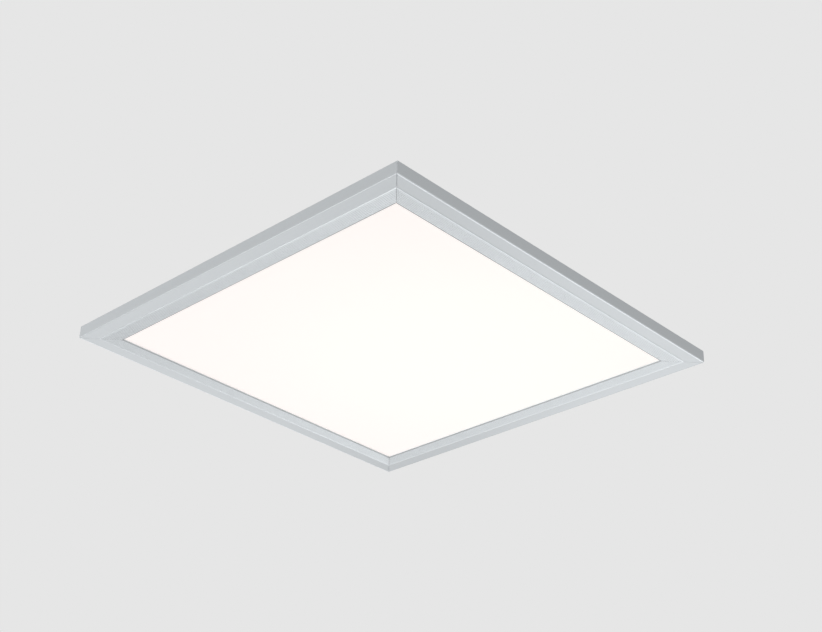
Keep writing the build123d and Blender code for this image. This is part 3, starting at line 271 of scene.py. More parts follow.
class Nodes:
    """A node tree being made, with short calls to add and join its nodes."""

    def __init__(self, tree):
        self.tree = tree

    def add(self, kind, inputs=None, **settings):
        """Add a node, then set or link its inputs, each given by its place or its name."""
        node = self.tree.nodes.new(kind)
        for name, value in settings.items():
            setattr(node, name, value)
        for key, value in (inputs or {}).items():
            if isinstance(key, int):
                socket = node.inputs[key]
            else:
                socket = next(socket for socket in node.inputs if socket.name == key and socket.enabled)
            self.feed(socket, value)
        return node

    def feed(self, socket, value):
        """Link an output to a socket, or set the socket's own value."""
        if isinstance(value, bpy.types.NodeSocket):
            self.tree.links.new(value, socket)
        else:
            socket.default_value = value

    def math(self, operation, *values):
        """Return the result of one sum."""
        return self.add("ShaderNodeMath", dict(enumerate(values)), operation=operation).outputs["Value"]


class Finish(Nodes):
    """A material being made, with short calls for its pattern, colour, gloss and relief."""

    def __init__(self, slot, name=None, metallic=0.0):
        self.material = bpy.data.materials.new(name or f"{slot}_finish")
        self.material.use_nodes = True
        super().__init__(self.material.node_tree)
        self.base = Vector(getattr(bpy.context.scene.light_finishes, slot))
        self.shader = self.tree.nodes["Principled BSDF"]
        self.shader.inputs["Metallic"].default_value = metallic
        self.place = self.add("ShaderNodeTexCoord").outputs["Object"]

    def noise(self, size, stretch=(1.0, 1.0, 1.0), detail=3.0):
        """Return noise of about this feature size, drawn out along an axis with a small stretch."""
        mapped = self.add("ShaderNodeMapping", {"Vector": self.place, "Scale": stretch})
        inputs = {"Vector": mapped.outputs["Vector"], "Scale": 1 / size, "Detail": detail}
        return self.add("ShaderNodeTexNoise", inputs).outputs["Fac"]

    def cells(self, size):
        """Return a random shade for each cell of about this size."""
        cells = self.add("ShaderNodeTexVoronoi", {"Vector": self.place, "Scale": 1 / size})
        return self.add("ShaderNodeSeparateColor", {"Color": cells.outputs["Color"]}).outputs["Red"]

    def spread(self, factor, low, high):
        """Return a factor of 0 to 1 spread between two values."""
        ranged = self.add("ShaderNodeMapRange", {"Value": factor, "To Min": low, "To Max": high})
        return ranged.outputs["Result"]

    def band(self, value, none, full):
        """Return 0 to 1 as a value goes from one limit to another."""
        limits = {"Value": value, "From Min": none, "From Max": full}
        return self.add("ShaderNodeMapRange", limits, interpolation_type="SMOOTHSTEP").outputs["Result"]

    def mixed(self, factor, first, second):
        """Return a colour between two others."""
        mix = self.add("ShaderNodeMix", data_type="RGBA")
        colours = [socket for socket in mix.inputs if socket.type == "RGBA"]
        self.feed(mix.inputs["Factor"], factor)
        for socket, value in zip(colours, (first, second)):
            self.feed(socket, (*value, 1.0) if isinstance(value, Vector) else value)
        return next(socket for socket in mix.outputs if socket.type == "RGBA")

    def shade(self, factor, variation):
        """Vary the base colour lighter and darker by a share of itself."""
        tint = self.mixed(factor, self.base * (1 - variation), self.base * (1 + variation))
        self.feed(self.shader.inputs["Base Color"], tint)
        return tint

    def gloss(self, factor, low, high):
        """Vary the roughness."""
        self.feed(self.shader.inputs["Roughness"], self.spread(factor, low, high))

    def relief(self, factor, height, strength=0.5):
        """Raise the surface by a height where the factor is 1."""
        bump = self.add("ShaderNodeBump", {"Height": factor, "Distance": height, "Strength": strength})
        self.feed(self.shader.inputs["Normal"], bump.outputs["Normal"])


def satin_aluminium(run):
    """Anodised extrusion: fine lines along its run, painted highlights and painted shade on its face."""
    finish = Finish("satin_aluminium", f"satin_aluminium_{run}", metallic=0.65)
    finish.base *= 0.9
    along = (0.015, 1.0, 1.0) if run == "x" else (1.0, 0.015, 1.0)
    lines = finish.noise(0.0004, stretch=along)
    clouds = finish.noise(0.06, stretch=along, detail=2.0)
    both = finish.math("MULTIPLY_ADD", lines, 0.4, clouds)
    tint = finish.shade(finish.spread(both, -0.35, 1.0), 0.03)
    place = finish.add("ShaderNodeSeparateXYZ", {"Vector": finish.place}).outputs
    out = finish.math("ABSOLUTE", place["Y" if run == "x" else "X"])
    height = place["Z"]
    settings = bpy.context.scene.light_frame
    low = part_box("frame_side_front")[0]
    edge = -low.y
    face = low.z + settings.ridge_rise
    ridge = edge - settings.plain_band
    ribs = ridge - settings.ridge_width
    land = edge - settings.face_width + settings.window_land
    # Each line fades out over a few steps of this width.
    fade = 0.0001
    outermost = finish.band(out, edge - 10 * fade, edge - 5 * fade)
    corner = finish.band(height, face + 10 * fade, face + 5 * fade)
    ridge_near = finish.band(out, ribs, ribs + 4 * fade)
    ridge_far = finish.band(out, ridge, ridge - 4 * fade)
    ribbed = finish.band(out, ribs, ribs - 2 * fade)
    proud = finish.band(height, face - fade, face - 2 * fade)
    flush = finish.band(height, face - 2 * fade, face - fade)
    inner = finish.band(out, land + 5 * fade, land + 2 * fade)
    on_face = finish.band(height, face + 2 * fade, face + fade)
    in_window = finish.band(height, face + fade, face + 2 * fade)
    # Painted light on the face: painted highlights on the arris, ridge and rib tops, painted shade in
    # the grooves and on the land, and painted light from the diffuser on the lip.
    marks = (
        (outermost, corner, ARRIS_HIGHLIGHT[run]),
        (ridge_near, ridge_far, RIDGE_HIGHLIGHT),
        (ribbed, proud, RIB_TOP_HIGHLIGHT),
        (ribbed, flush, GROOVE_SHADE),
        (inner, on_face, LAND_SHADE),
        (inner, in_window, LIP_DIFFUSER_LIGHT),
    )
    for first, second, gain in marks:
        tint = finish.mixed(finish.math("MULTIPLY", first, second), tint, finish.base * gain)
    finish.feed(finish.shader.inputs["Base Color"], tint)
    finish.gloss(lines, 0.3, 0.4)
    finish.relief(lines, 0.00001, 0.3)
    return finish.material


def opal_diffuser(slot):
    """Frosted plate lit from behind, a little warmer and dimmer towards its left and back edges."""
    finish = Finish(slot)
    # About half of the light that falls on an opal plate goes through it.
    finish.base *= 0.55
    frost = finish.noise(0.0004)
    finish.shade(frost, 0.02)
    finish.gloss(frost, 0.5, 0.62)
    finish.relief(frost, 0.00001, 0.2)
    brightest = (0.035, -0.035, 0.0)
    level_place = finish.add(
        "ShaderNodeVectorMath", {0: finish.place, 1: (1.0, 1.0, 0.0)}, operation="MULTIPLY"
    ).outputs["Vector"]
    apart = finish.add(
        "ShaderNodeVectorMath", {0: level_place, 1: brightest}, operation="DISTANCE"
    ).outputs["Value"]
    fall = finish.band(apart, 0.03, 0.21)
    glow = finish.mixed(fall, Vector((1.0, 0.99, 0.93)), Vector((1.0, 0.9, 0.87)))
    finish.feed(finish.shader.inputs["Emission Color"], glow)
    finish.shader.inputs["Emission Strength"].default_value = bpy.context.scene.light_stage.glow
    return finish.material


def clear_acrylic(slot):
    """Clear guide plate with a dot pattern that lets the light out."""
    finish = Finish(slot)
    dots = finish.add(
        "ShaderNodeTexVoronoi", {"Vector": finish.place, "Scale": 400.0, "Randomness": 0.0}
    ).outputs["Distance"]
    finish.shade(finish.spread(dots, 0.2, 0.8), 0.05)
    finish.gloss(dots, 0.3, 0.05)
    finish.shader.inputs["Transmission Weight"].default_value = 0.8
    finish.shader.inputs["IOR"].default_value = 1.49
    return finish.material


def galvanised_steel(slot):
    """Zinc-coated sheet with a faint spangle."""
    finish = Finish(slot, metallic=0.9)
    spangle = finish.cells(0.006)
    finish.shade(spangle, 0.07)
    finish.gloss(spangle, 0.42, 0.55)
    finish.relief(finish.noise(0.0008), 0.00001, 0.3)
    return finish.material


def powder_coat(slot):
    """Baked coat with a fine orange-peel surface."""
    finish = Finish(slot)
    peel = finish.noise(0.0011, detail=2.0)
    finish.shade(finish.noise(0.05), 0.015)
    finish.gloss(peel, 0.42, 0.54)
    finish.relief(peel, 0.00005, 0.35)
    return finish.material


def plated(slot, roughness):
    """Plated or bare bright metal with fine polishing marks."""
    finish = Finish(slot, metallic=1.0)
    marks = finish.noise(0.0005, stretch=(1.0, 1.0, 0.2))
    finish.shade(marks, 0.06)
    finish.gloss(marks, roughness - 0.05, roughness + 0.08)
    finish.relief(marks, 0.000008, 0.3)
    return finish.material


def moulded(slot, roughness):
    """Moulded plastic with a spark-eroded grain."""
    finish = Finish(slot)
    grain = finish.noise(0.0006)
    finish.shade(finish.noise(0.02), 0.02)
    finish.gloss(grain, roughness - 0.06, roughness + 0.06)
    finish.relief(grain, 0.00002, 0.3)
    return finish.material


def dry_matt(slot):
    """Dry matt surface of soft rubber or of a ferrite core."""
    finish = Finish(slot)
    dust = finish.noise(0.0009)
    finish.shade(dust, 0.18)
    finish.gloss(dust, 0.62, 0.78)
    finish.relief(dust, 0.00003, 0.4)
    return finish.material


def foam(slot):
    """Closed-cell foam or matt film, with its cells as relief."""
    finish = Finish(slot)
    cells = finish.add("ShaderNodeTexVoronoi", {"Vector": finish.place, "Scale": 1200.0})
    depth = cells.outputs["Distance"]
    finish.shade(depth, 0.03)
    finish.gloss(depth, 0.7, 0.85)
    finish.relief(depth, 0.00008, 0.4)
    return finish.material


def circuit_board(slot):
    """Solder mask over tracks that show as lighter lines."""
    finish = Finish(slot)
    tracks = finish.add(
        "ShaderNodeTexBrick",
        {"Vector": finish.place, "Scale": 90.0, "Mortar Size": 0.06, "Mortar Smooth": 0.2},
    ).outputs["Fac"]
    finish.shade(tracks, 0.12)
    finish.gloss(tracks, 0.35, 0.45)
    finish.relief(tracks, 0.00003)
    return finish.material


def wound_copper(slot):
    """Enamelled wire wound in level turns."""
    finish = Finish(slot, metallic=0.9)
    turns = finish.add(
        "ShaderNodeTexWave", {"Vector": finish.place, "Scale": 320.0}, bands_direction="Z"
    ).outputs["Fac"]
    finish.shade(turns, 0.25)
    finish.gloss(turns, 0.4, 0.25)
    finish.relief(turns, 0.0002)
    return finish.material


def striped_lead(slot):
    """Earth insulation, green with a yellow stripe along its upper side."""
    finish = Finish(slot)
    facing = finish.add("ShaderNodeNewGeometry").outputs["Normal"]
    upward = finish.add("ShaderNodeSeparateXYZ", {"Vector": facing}).outputs["Z"]
    stripe = finish.add(
        "ShaderNodeMapRange", {"Value": upward, "From Min": 0.35, "From Max": 0.45}
    ).outputs["Result"]
    tint = finish.mixed(stripe, finish.base, Vector((0.75, 0.62, 0.06)))
    finish.feed(finish.shader.inputs["Base Color"], tint)
    finish.gloss(finish.noise(0.002), 0.38, 0.5)
    return finish.material


# What makes each slot's finish, and its roughness where that differs between slots
FINISHES = {
    "opal_diffuser": (opal_diffuser,),
    "clear_acrylic": (clear_acrylic,),
    "white_film": (foam,),
    "white_foam": (foam,),
    "led_board_white": (circuit_board,),
    "led_phosphor": (moulded, 0.3),
    "galvanised_steel": (galvanised_steel,),
    "white_powder_coat": (powder_coat,),
    "zinc_plated_steel": (plated, 0.32),
    "bright_rivet": (plated, 0.35),
    "nickel_plate": (plated, 0.24),
    "grey_rubber": (dry_matt,),
    "driver_white": (moulded, 0.48),
    "board_green": (circuit_board,),
    "transformer_core": (dry_matt,),
    "choke_copper": (wound_copper,),
    "capacitor_sleeve": (moulded, 0.3),
    "fuse_brown": (moulded, 0.35),
    "chip_black": (moulded, 0.5),
    "terminal_grey": (moulded, 0.45),
    "release_orange": (moulded, 0.36),
    "contact_brass": (plated, 0.3),
    "tinned_lug": (plated, 0.4),
    "lead_white": (moulded, 0.45),
    "lead_brown": (moulded, 0.42),
    "lead_blue": (moulded, 0.42),
    "lead_green": (striped_lead,),
    "clip_white": (moulded, 0.5),
}


def finish_of(slot):
    """Return the finish of a material slot, made the first time that it is asked for."""
    maker, *roughness = FINISHES[slot]
    return bpy.data.materials.get(f"{slot}_finish") or maker(slot, *roughness)


class Tree(Nodes):
    """A Geometry Nodes tree being made, with named inputs for its sizes and its material."""

    def __init__(self, name, **inputs):
        super().__init__(bpy.data.node_groups.new(name, "GeometryNodeTree"))
        face = self.tree.interface
        self.names = {}
        kinds = {"geometry": "NodeSocketGeometry", **inputs, "material": "NodeSocketMaterial"}
        for key, kind in kinds.items():
            title = key.replace("_", " ").capitalize()
            self.names[key] = face.new_socket(title, in_out="INPUT", socket_type=kind)
        face.new_socket("Geometry", in_out="OUTPUT", socket_type="NodeSocketGeometry")
        self.source = self.add("NodeGroupInput")
        self.sink = self.add("NodeGroupOutput")

    def given(self, key):
        """Return the output of a named input."""
        return self.source.outputs[self.names[key].name]

    def close(self, geometry):
        """End the tree: real geometry with its finish."""
        real = self.add("GeometryNodeRealizeInstances", {"Geometry": geometry}).outputs["Geometry"]
        inputs = {"Geometry": real, "Material": self.given("material")}
        done = self.add("GeometryNodeSetMaterial", inputs).outputs["Geometry"]
        self.feed(self.sink.inputs["Geometry"], done)

    def run(self, mesh, **values):
        """Run the tree on a mesh and return the result as a plain mesh."""
        carrier = loose(mesh)
        modifier = carrier.modifiers.new(self.tree.name, "NODES")
        modifier.node_group = self.tree
        for key, value in values.items():
            modifier[self.names[key].identifier] = value
        result = baked(carrier)
        # Bare geometry leaves an empty slot in front of the finish.
        if result.materials[0] is None:
            result.materials.pop(index=0)
        return result


def loose(mesh):
    """Return a working object for a mesh, linked to the scene until it is baked or dropped."""
    carrier = bpy.data.objects.new(mesh.name, mesh)
    bpy.context.scene.collection.objects.link(carrier)
    return carrier


def baked(carrier):
    """Return a working object's mesh with its modifiers applied, and remove the object."""
    bpy.context.view_layer.update()
    evaluated = carrier.evaluated_get(bpy.context.evaluated_depsgraph_get())
    mesh = bpy.data.meshes.new_from_object(evaluated)
    bpy.data.objects.remove(carrier)
    return mesh


def smoothed(mesh):
    """Shade a mesh smooth, apart from its sharp edges, with flat faces kept flat."""
    mesh.shade_smooth()
    mesh.set_sharp_from_angle(angle=SHARP_ANGLE)
    carrier = loose(mesh)
    carrier.modifiers.new("even_shading", "WEIGHTED_NORMAL").keep_sharp = True
    return baked(carrier)


def settle(name, mesh, node):
    """Make a piece of a mesh that stands for a CAD node, with its finish and its body."""
    slot = SLOT_OF[node]
    mesh.name = name
    if not mesh.materials:
        mesh.materials.append(finish_of(slot))
    piece = bpy.data.objects.new(name, mesh)
    bpy.context.scene.collection.objects.link(piece)
    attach(piece, BODY_OF[node])
    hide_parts(node)
    return piece


def dress(*nodes):
    """Give carried-over CAD nodes the finish of their slot."""
    for node in nodes:
        materials = frame["nodes"][node].data.materials
        materials.clear()
        materials.append(finish_of(SLOT_OF[node]))


def softened(node, radius, segments=EDGE_SEGMENTS):
    """Return a copy of a CAD node's mesh whose sharp edges are rounded."""
    shape = bmesh.new()
    shape.from_mesh(frame["nodes"][node].data)
    bmesh.ops.remove_doubles(shape, verts=shape.verts, dist=WELD)
    bmesh.ops.dissolve_limit(shape, angle_limit=FLAT_ANGLE, verts=shape.verts, edges=shape.edges)
    sharp = [edge for edge in shape.edges if edge.is_manifold and edge.calc_face_angle() > SHARP_ANGLE]
    bmesh.ops.bevel(
        shape,
        geom=sharp,
        offset=radius,
        segments=segments,
        profile=0.5,
        affect="EDGES",
        clamp_overlap=False,
    )
    mesh = bpy.data.meshes.new(f"{node}_rounded")
    shape.to_mesh(mesh)
    shape.free()
    mesh.materials.clear()
    return smoothed(mesh)


def round_off(node, ending, radius, segments=EDGE_SEGMENTS):
    """Replace a CAD node by a copy whose sharp edges are rounded, and return the piece."""
    return settle(f"{node}_{ending}", softened(node, radius, segments), node)


def ring_mesh(name, rings, closed=False):
    """Return a mesh through rings of points, its ends capped, or joined to each other if closed."""
    count = len(rings[0])
    points = [point for ring in rings for point in ring]
    faces = []
    for start in range(len(rings) if closed else len(rings) - 1):
        here = start * count
        there = (start + 1) % len(rings) * count
        for i in range(count):
            j = (i + 1) % count
            faces.append((here + i, here + j, there + j, there + i))
    if not closed:
        faces.append(tuple(range(count)))
        faces.append(tuple(range(len(points) - count, len(points))))
    mesh = bpy.data.meshes.new(name)
    mesh.from_pydata(points, [], faces)
    shape = bmesh.new()
    shape.from_mesh(mesh)
    bmesh.ops.recalc_face_normals(shape, faces=shape.faces)
    shape.to_mesh(mesh)
    shape.free()
    return mesh


def ring(radius, height, segments):
    """Return a ring of points; the radius may be a function of the angle."""
    turns = [tau * i / segments for i in range(segments)]
    reach = radius if callable(radius) else lambda turn: radius
    return [(reach(turn) * cos(turn), reach(turn) * sin(turn), height) for turn in turns]


def turned(name, outline, segments=TURNED_SEGMENTS, closed=False):
    """Return a turned shape from (radius, height) pairs."""
    return ring_mesh(name, [ring(radius, height, segments) for radius, height in outline], closed)


def cut(mesh, *boxes):
    """Return a mesh with boxes, each given by its middle and size, cut out of it."""
    body = loose(mesh)
    cutters = []
    for middle, size in boxes:
        shape = bmesh.new()
        bmesh.ops.create_cube(shape, size=1.0, matrix=Matrix.LocRotScale(middle, None, size))
        cutter = bpy.data.meshes.new("cutter")
        shape.to_mesh(cutter)
        shape.free()
        cutters.append(loose(cutter))
        trim = body.modifiers.new("cut", "BOOLEAN")
        trim.operation = "DIFFERENCE"
        trim.object = cutters[-1]
    result = baked(body)
    for cutter in cutters:
        bpy.data.objects.remove(cutter)
    return result


def solids_of(node):
    """Return the middle and the lowest level of each separate solid in a CAD node."""
    shape = bmesh.new()
    shape.from_mesh(frame["nodes"][node].data)
    bmesh.ops.remove_doubles(shape, verts=shape.verts, dist=WELD)
    waiting = set(shape.verts)
    solids = []
    while waiting:
        front = [waiting.pop()]
        found = []
        while front:
            vert = front.pop()
            found.append(vert.co.copy())
            near = {edge.other_vert(vert) for edge in vert.link_edges} & waiting
            waiting -= near
            front.extend(near)
        low = Vector(min(point[axis] for point in found) for axis in range(3))
        high = Vector(max(point[axis] for point in found) for axis in range(3))
        solids.append(((low + high) / 2, low.z))
    shape.free()
    return sorted(solids, key=lambda solid: tuple(solid[0]))


def frame_section(settings, height):
    """Return the frame extrusion's outline: distance from the outer wall and height over the face."""
    radius = settings.arris_radius
    outline = [(radius - radius * cos(turn), radius - radius * sin(turn)) for turn in QUARTER_TURN]
    land = settings.face_width - settings.window_land
    bead_start = settings.plain_band
    rib_start = bead_start + settings.ridge_width
    pitch = (land - rib_start) / settings.rib_count
    beads = [(bead_start, settings.ridge_width, settings.ridge_rise)]
    beads += [(rib_start + i * pitch, pitch, settings.rib_rise) for i in range(settings.rib_count)]
    for start, width, rise in beads:
        outline.extend(bead(start, width, rise))
    shelf = height - settings.rebate
    outline += [
        (land, 0.0),
        (settings.face_width, 0.0),
        (settings.face_width, settings.face_thick),
        (settings.web_inside, settings.face_thick),
        (settings.web_inside, shelf),
        (settings.wall_thick, shelf),
        (settings.wall_thick, height),
        (0.0, height),
    ]
    return outline


def bead(start, width, rise):
    """Return the points of a round bead that stands out of the face, without its last one."""
    radius = (width**2 / 4 + rise**2) / (2 * rise)
    half = asin(width / 2 / radius)
    middle = start + width / 2
    turns = [half * (2 * step / ARC_STEPS - 1) for step in range(ARC_STEPS)]
    return [(middle + radius * sin(turn), -(radius * cos(turn) - radius + rise)) for turn in turns]


def extrusion_tree():
    """Return the tree that sweeps a section along a side and mitres both ends."""
    tree = Tree("mitred_extrusion", half_side="NodeSocketFloat", joint="NodeSocketFloat")
    half = tree.given("half_side")
    left = tree.math("MULTIPLY", half, -1.0)
    start = tree.add("ShaderNodeCombineXYZ", {"X": left}).outputs["Vector"]
    end = tree.add("ShaderNodeCombineXYZ", {"X": half}).outputs["Vector"]
    rail = tree.add("GeometryNodeCurvePrimitiveLine", {"Start": start, "End": end}).outputs["Curve"]
    section = tree.add("GeometryNodeMeshToCurve", {"Mesh": tree.given("geometry")}).outputs["Curve"]
    swept = tree.add(
        "GeometryNodeCurveToMesh", {"Curve": rail, "Profile Curve": section, "Fill Caps": True}
    ).outputs["Mesh"]
    position = tree.add("GeometryNodeInputPosition").outputs["Position"]
    place = tree.add("ShaderNodeSeparateXYZ", {"Vector": position}).outputs
    reach = tree.math("SUBTRACT", tree.math("SUBTRACT", half, place["Y"]), tree.given("joint"))
    along = tree.math("MULTIPLY", tree.math("SIGN", place["X"]), reach)
    mitred = tree.add("ShaderNodeCombineXYZ", {"X": along, "Y": place["Y"], "Z": place["Z"]})
    inputs = {"Geometry": swept, "Position": mitred.outputs["Vector"]}
    tree.close(tree.add("GeometryNodeSetPosition", inputs).outputs["Geometry"])
    return tree


def break_ends(mesh, width):
    """Break the sharp edges that a saw leaves round both ends of an extrusion."""
    shape = bmesh.new()
    shape.from_mesh(mesh)
    ends = [face for face in shape.faces if len(face.verts) > 4]
    edges = list({edge for face in ends for edge in face.edges})
    bmesh.ops.bevel(
        shape, geom=edges, offset=width, segments=1, affect="EDGES", clamp_overlap=False
    )
    shape.to_mesh(mesh)
    shape.free()


def repeat_tree():
    """Return the tree that sets a copy of a fastener at every point, each left at its own turn."""
    tree = Tree(
        "fastener_places",
        fastener="NodeSocketObject",
        largest_turn="NodeSocketFloat",
        seed="NodeSocketInt",
    )
    fastener = tree.add("GeometryNodeObjectInfo", {"Object": tree.given("fastener")})
    turn = tree.add(
        "FunctionNodeRandomValue",
        {"Min": 0.0, "Max": tree.given("largest_turn"), "Seed": tree.given("seed")},
        data_type="FLOAT",
    )
    spin = next(socket for socket in turn.outputs if socket.enabled)
    inputs = {
        "Points": tree.given("geometry"),
        "Instance": fastener.outputs["Geometry"],
        "Rotation": tree.add("ShaderNodeCombineXYZ", {"Z": spin}).outputs["Vector"],
    }
    tree.close(tree.add("GeometryNodeInstanceOnPoints", inputs).outputs["Instances"])
    return tree


def repeat(fastener, node, height=None, largest_turn=0.0):
    """Replace each solid of a CAD node by a fastener, at one height or at the solid's lowest level."""
    name = f"{node.removesuffix('s')}_set"
    points = bpy.data.meshes.new(name)
    places = [(at.x, at.y, lowest if height is None else height) for at, lowest in solids_of(node)]
    points.from_pydata(places, [], [])
    template = loose(smoothed(fastener))
    mesh = repeat_tree().run(
        points,
        fastener=template,
        largest_turn=largest_turn,
        seed=bpy.context.scene.light_fasteners.turn_seed,
        material=finish_of(SLOT_OF[node]),
    )
    bpy.data.objects.remove(template)
    settle(name, mesh, node)


def knurl_tree():
    """Return the tree that sets ridges evenly round a head and fuses them with it."""
    tree = Tree(
        "knurled_head", ridge="NodeSocketObject", count="NodeSocketInt", radius="NodeSocketFloat"
    )
    count = tree.given("count")
    circle = tree.add("GeometryNodeMeshCircle", {"Vertices": count, "Radius": tree.given("radius")})
    ridge = tree.add("GeometryNodeObjectInfo", {"Object": tree.given("ridge")}).outputs["Geometry"]
    step = tree.math("DIVIDE", tau, count)
    turn = tree.math("MULTIPLY", tree.add("GeometryNodeInputIndex").outputs["Index"], step)
    rotation = tree.add("ShaderNodeCombineXYZ", {"Z": turn}).outputs["Vector"]
    inputs = {"Points": circle.outputs["Mesh"], "Instance": ridge, "Rotation": rotation}
    ridges = tree.add("GeometryNodeInstanceOnPoints", inputs).outputs["Instances"]
    ridges = tree.add("GeometryNodeRealizeInstances", {"Geometry": ridges}).outputs["Geometry"]
    fused = tree.add("GeometryNodeMeshBoolean", operation="UNION", solver="EXACT")
    for solid in (tree.given("geometry"), ridges):
        tree.feed(fused.inputs["Mesh 2"], solid)
    tree.close(fused.outputs["Mesh"])
    return tree


class LIGHT_OT_frame_sides(bpy.types.Operator):
    """Sweep the four mitred frame sides"""

    bl_idname = "panel_light.frame_sides"
    bl_label = "Frame sides"

    def execute(self, context):
        settings = context.scene.light_frame
        low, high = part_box("frame_side_front")
        half = -low.y
        face = low.z + settings.ridge_rise
        outline = frame_section(settings, high.z - face)
        edges = [(i, (i + 1) % len(outline)) for i in range(len(outline))]
        wide = settings.web_inside - settings.web_thick - settings.wall_thick
        tall = high.z - face - settings.rebate - settings.shelf_thick - settings.face_thick
        middle = Vector((0.0, settings.wall_thick + wide / 2, settings.face_thick + tall / 2))
        # The chamber's cutter is longer than a side, so that it goes through both ends.
        chamber = (middle, Vector((3 * half, wide, tall)))
        outward = Matrix.Translation((0.0, low.y, face))
        tree = extrusion_tree()
        for side, turn in SIDE_TURNS.items():
            # The sweep lays the section half turned about the rail, so it is drawn half turned.
            section = bpy.data.meshes.new("frame_section")
            section.from_pydata([(-u, -h, 0.0) for u, h in outline], edges, [])
            # Each run gets its own material, with fine lines along that run and its own painted arris
            # highlight.
            run = "x" if turn % 180 == 0 else "y"
            material = bpy.data.materials.get(f"satin_aluminium_{run}") or satin_aluminium(run)
            mesh = tree.run(section, half_side=half, joint=settings.joint, material=material)
            break_ends(mesh, settings.chamfer)
            mesh = cut(mesh, chamber)
            mesh.transform(Matrix.Rotation(radians(turn), 4, "Z") @ outward)
            settle(f"frame_side_{side}_extrusion", smoothed(mesh), f"frame_side_{side}")
        return {"FINISHED"}


class LIGHT_OT_optics(bpy.types.Operator):
    """Dress the diffuser, the sheets behind it, the LED strips and the corner keys"""

    bl_idname = "panel_light.optics"
    bl_label = "Optics"

    def execute(self, context):
        dress("diffuser_plate", "light_guide_plate", "reflector_sheet")
        for side in ENDS:
            dress(f"led_board_{side}", f"led_chips_{side}")
            dress(f"corner_key_front_{side}", f"corner_key_back_{side}")
        return {"FINISHED"}


class LIGHT_OT_foam_pad(bpy.types.Operator):
    """Round the cut edges of the foam pad that presses the sheets together"""

    bl_idname = "panel_light.foam_pad"
    bl_label = "Foam pad"

    def execute(self, context):
        pad = round_off("foam_pad", "cut", context.scene.light_edges.foam, SOFT_EDGE_SEGMENTS)
        return {"FINISHED"}


class LIGHT_OT_back_cover(bpy.types.Operator):
    """Round the edges of the back cover's sheet"""

    bl_idname = "panel_light.back_cover"
    bl_label = "Back cover"

    def execute(self, context):
        round_off("back_cover", "sheet", context.scene.light_edges.cover)
        return {"FINISHED"}


class LIGHT_OT_cover_screws(bpy.types.Operator):
    """Drive the pan head screws of the back cover"""

    bl_idname = "panel_light.cover_screws"
    bl_label = "Cover screws"

    def execute(self, context):
        sizes = context.scene.light_fasteners
        head = sizes.screw_head / 2
        rise = sizes.screw_head_height
        shank = sizes.screw_shank / 2
        tip_share = 0.3
        straight_share = 0.75
        side_share = 0.35
        crown_share = 1 - side_share
        outline = [
            (shank * tip_share, -sizes.screw_length),
            (shank, -sizes.screw_length * straight_share),
            (shank, 0.0),
            (head, 0.0),
        ]
        for turn in QUARTER_TURN:
            drawn_in = side_share * (1 - cos(turn))
            outline.append((head * (1 - drawn_in), rise * (side_share + crown_share * sin(turn))))
        top = Vector((0.0, 0.0, rise))
        depth = 2 * sizes.recess_depth
        screw = cut(
            turned("cover_screw", outline),
            (top, Vector((sizes.recess_length, sizes.recess_width, depth))),
            (top, Vector((sizes.recess_width, sizes.recess_length, depth))),
        )
        repeat(screw, "cover_screws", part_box("back_cover")[1].z, tau)
        return {"FINISHED"}


class LIGHT_OT_housing_tray(bpy.types.Operator):
    """Round the sheet edges of the tray that holds the driver"""

    bl_idname = "panel_light.housing_tray"
    bl_label = "Housing tray"

    def execute(self, context):
        round_off("housing_tray", "sheet", context.scene.light_edges.sheet)
        return {"FINISHED"}


class LIGHT_OT_tray_rivets(bpy.types.Operator):
    """Set the blind rivets between the tray and the back cover"""

    bl_idname = "panel_light.tray_rivets"
    bl_label = "Tray rivets"

    def execute(self, context):
        sizes = context.scene.light_fasteners
        low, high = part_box("tray_rivets")
        rise = sizes.rivet_rise
        floor = high.z - rise
        end = low.z - floor
        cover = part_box("back_cover")[0].z - floor
        shank = sizes.rivet_shank / 2
        tail = sizes.rivet_tail / 2
        outline = [
            (shank, end),
            (tail, end + sizes.rivet_taper),
            (tail, cover),
            (shank, cover),
            (shank, 0.0),
        ]
        for diameter, shares in ((sizes.rivet_head, RIVET_DOME), (sizes.rivet_pit, RIVET_PIT)):
            outline += [(diameter / 2 * out, rise * up) for out, up in shares]
        repeat(turned("tray_rivet", outline), "tray_rivets", floor)
        return {"FINISHED"}


class LIGHT_OT_studs_and_nuts(bpy.types.Operator):
    """Thread the tray's studs and run a nut onto each"""

    bl_idname = "panel_light.studs_and_nuts"
    bl_label = "Studs and nuts"

    def execute(self, context):
        sizes = context.scene.light_fasteners
        low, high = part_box("tray_studs")
        stud = turned("tray_stud", stud_outline(sizes, high.z - low.z), STUD_SEGMENTS)
        repeat(stud, "tray_studs", largest_turn=tau)
        nut = turned("stud_nut", nut_outline(sizes), NUT_SEGMENTS, closed=True)
        repeat(nut, "stud_nuts", largest_turn=tau)
        return {"FINISHED"}


def stud_outline(sizes, tall):
    """Return a threaded stud as a radius by angle at each height, its thread running out at the top."""
    radius = sizes.stud_diameter / 2
    pitch = sizes.thread_pitch

    def flank(height):
        full = min(1.0, (tall - height) / pitch)

        def reach(turn):
            swing = abs((height / pitch - turn / tau) % 1.0 * 2 - 1)
            return radius - sizes.thread_depth * (swing * full + 1 - full)

        return reach

    steps = round(tall / pitch * THREAD_STEPS)
    heights = [tall * step / steps for step in range(steps + 1)]
    return [(flank(height), height) for height in heights]


def nut_outline(sizes):
    """Return a nut's section: its bore, its hexagon and the chamfers between them."""
    flat = sizes.nut_flats / 2
    height = sizes.nut_height
    chamfer = sizes.nut_chamfer
    bore = sizes.stud_diameter / 2 + sizes.nut_clearance

    def hexagon(limit):
        return lambda turn: min(flat / cos((turn + pi / 6) % (pi / 3) - pi / 6), flat * limit)

    chamfered = hexagon(NUT_FACE_REACH)
    full = hexagon(NUT_CORNER_REACH)
    return [
        (bore, 0.0),
        (chamfered, 0.0),
        (full, chamfer),
        (full, height - chamfer),
        (chamfered, height),
        (bore + chamfer, height),
        (bore, height - chamfer),
    ]


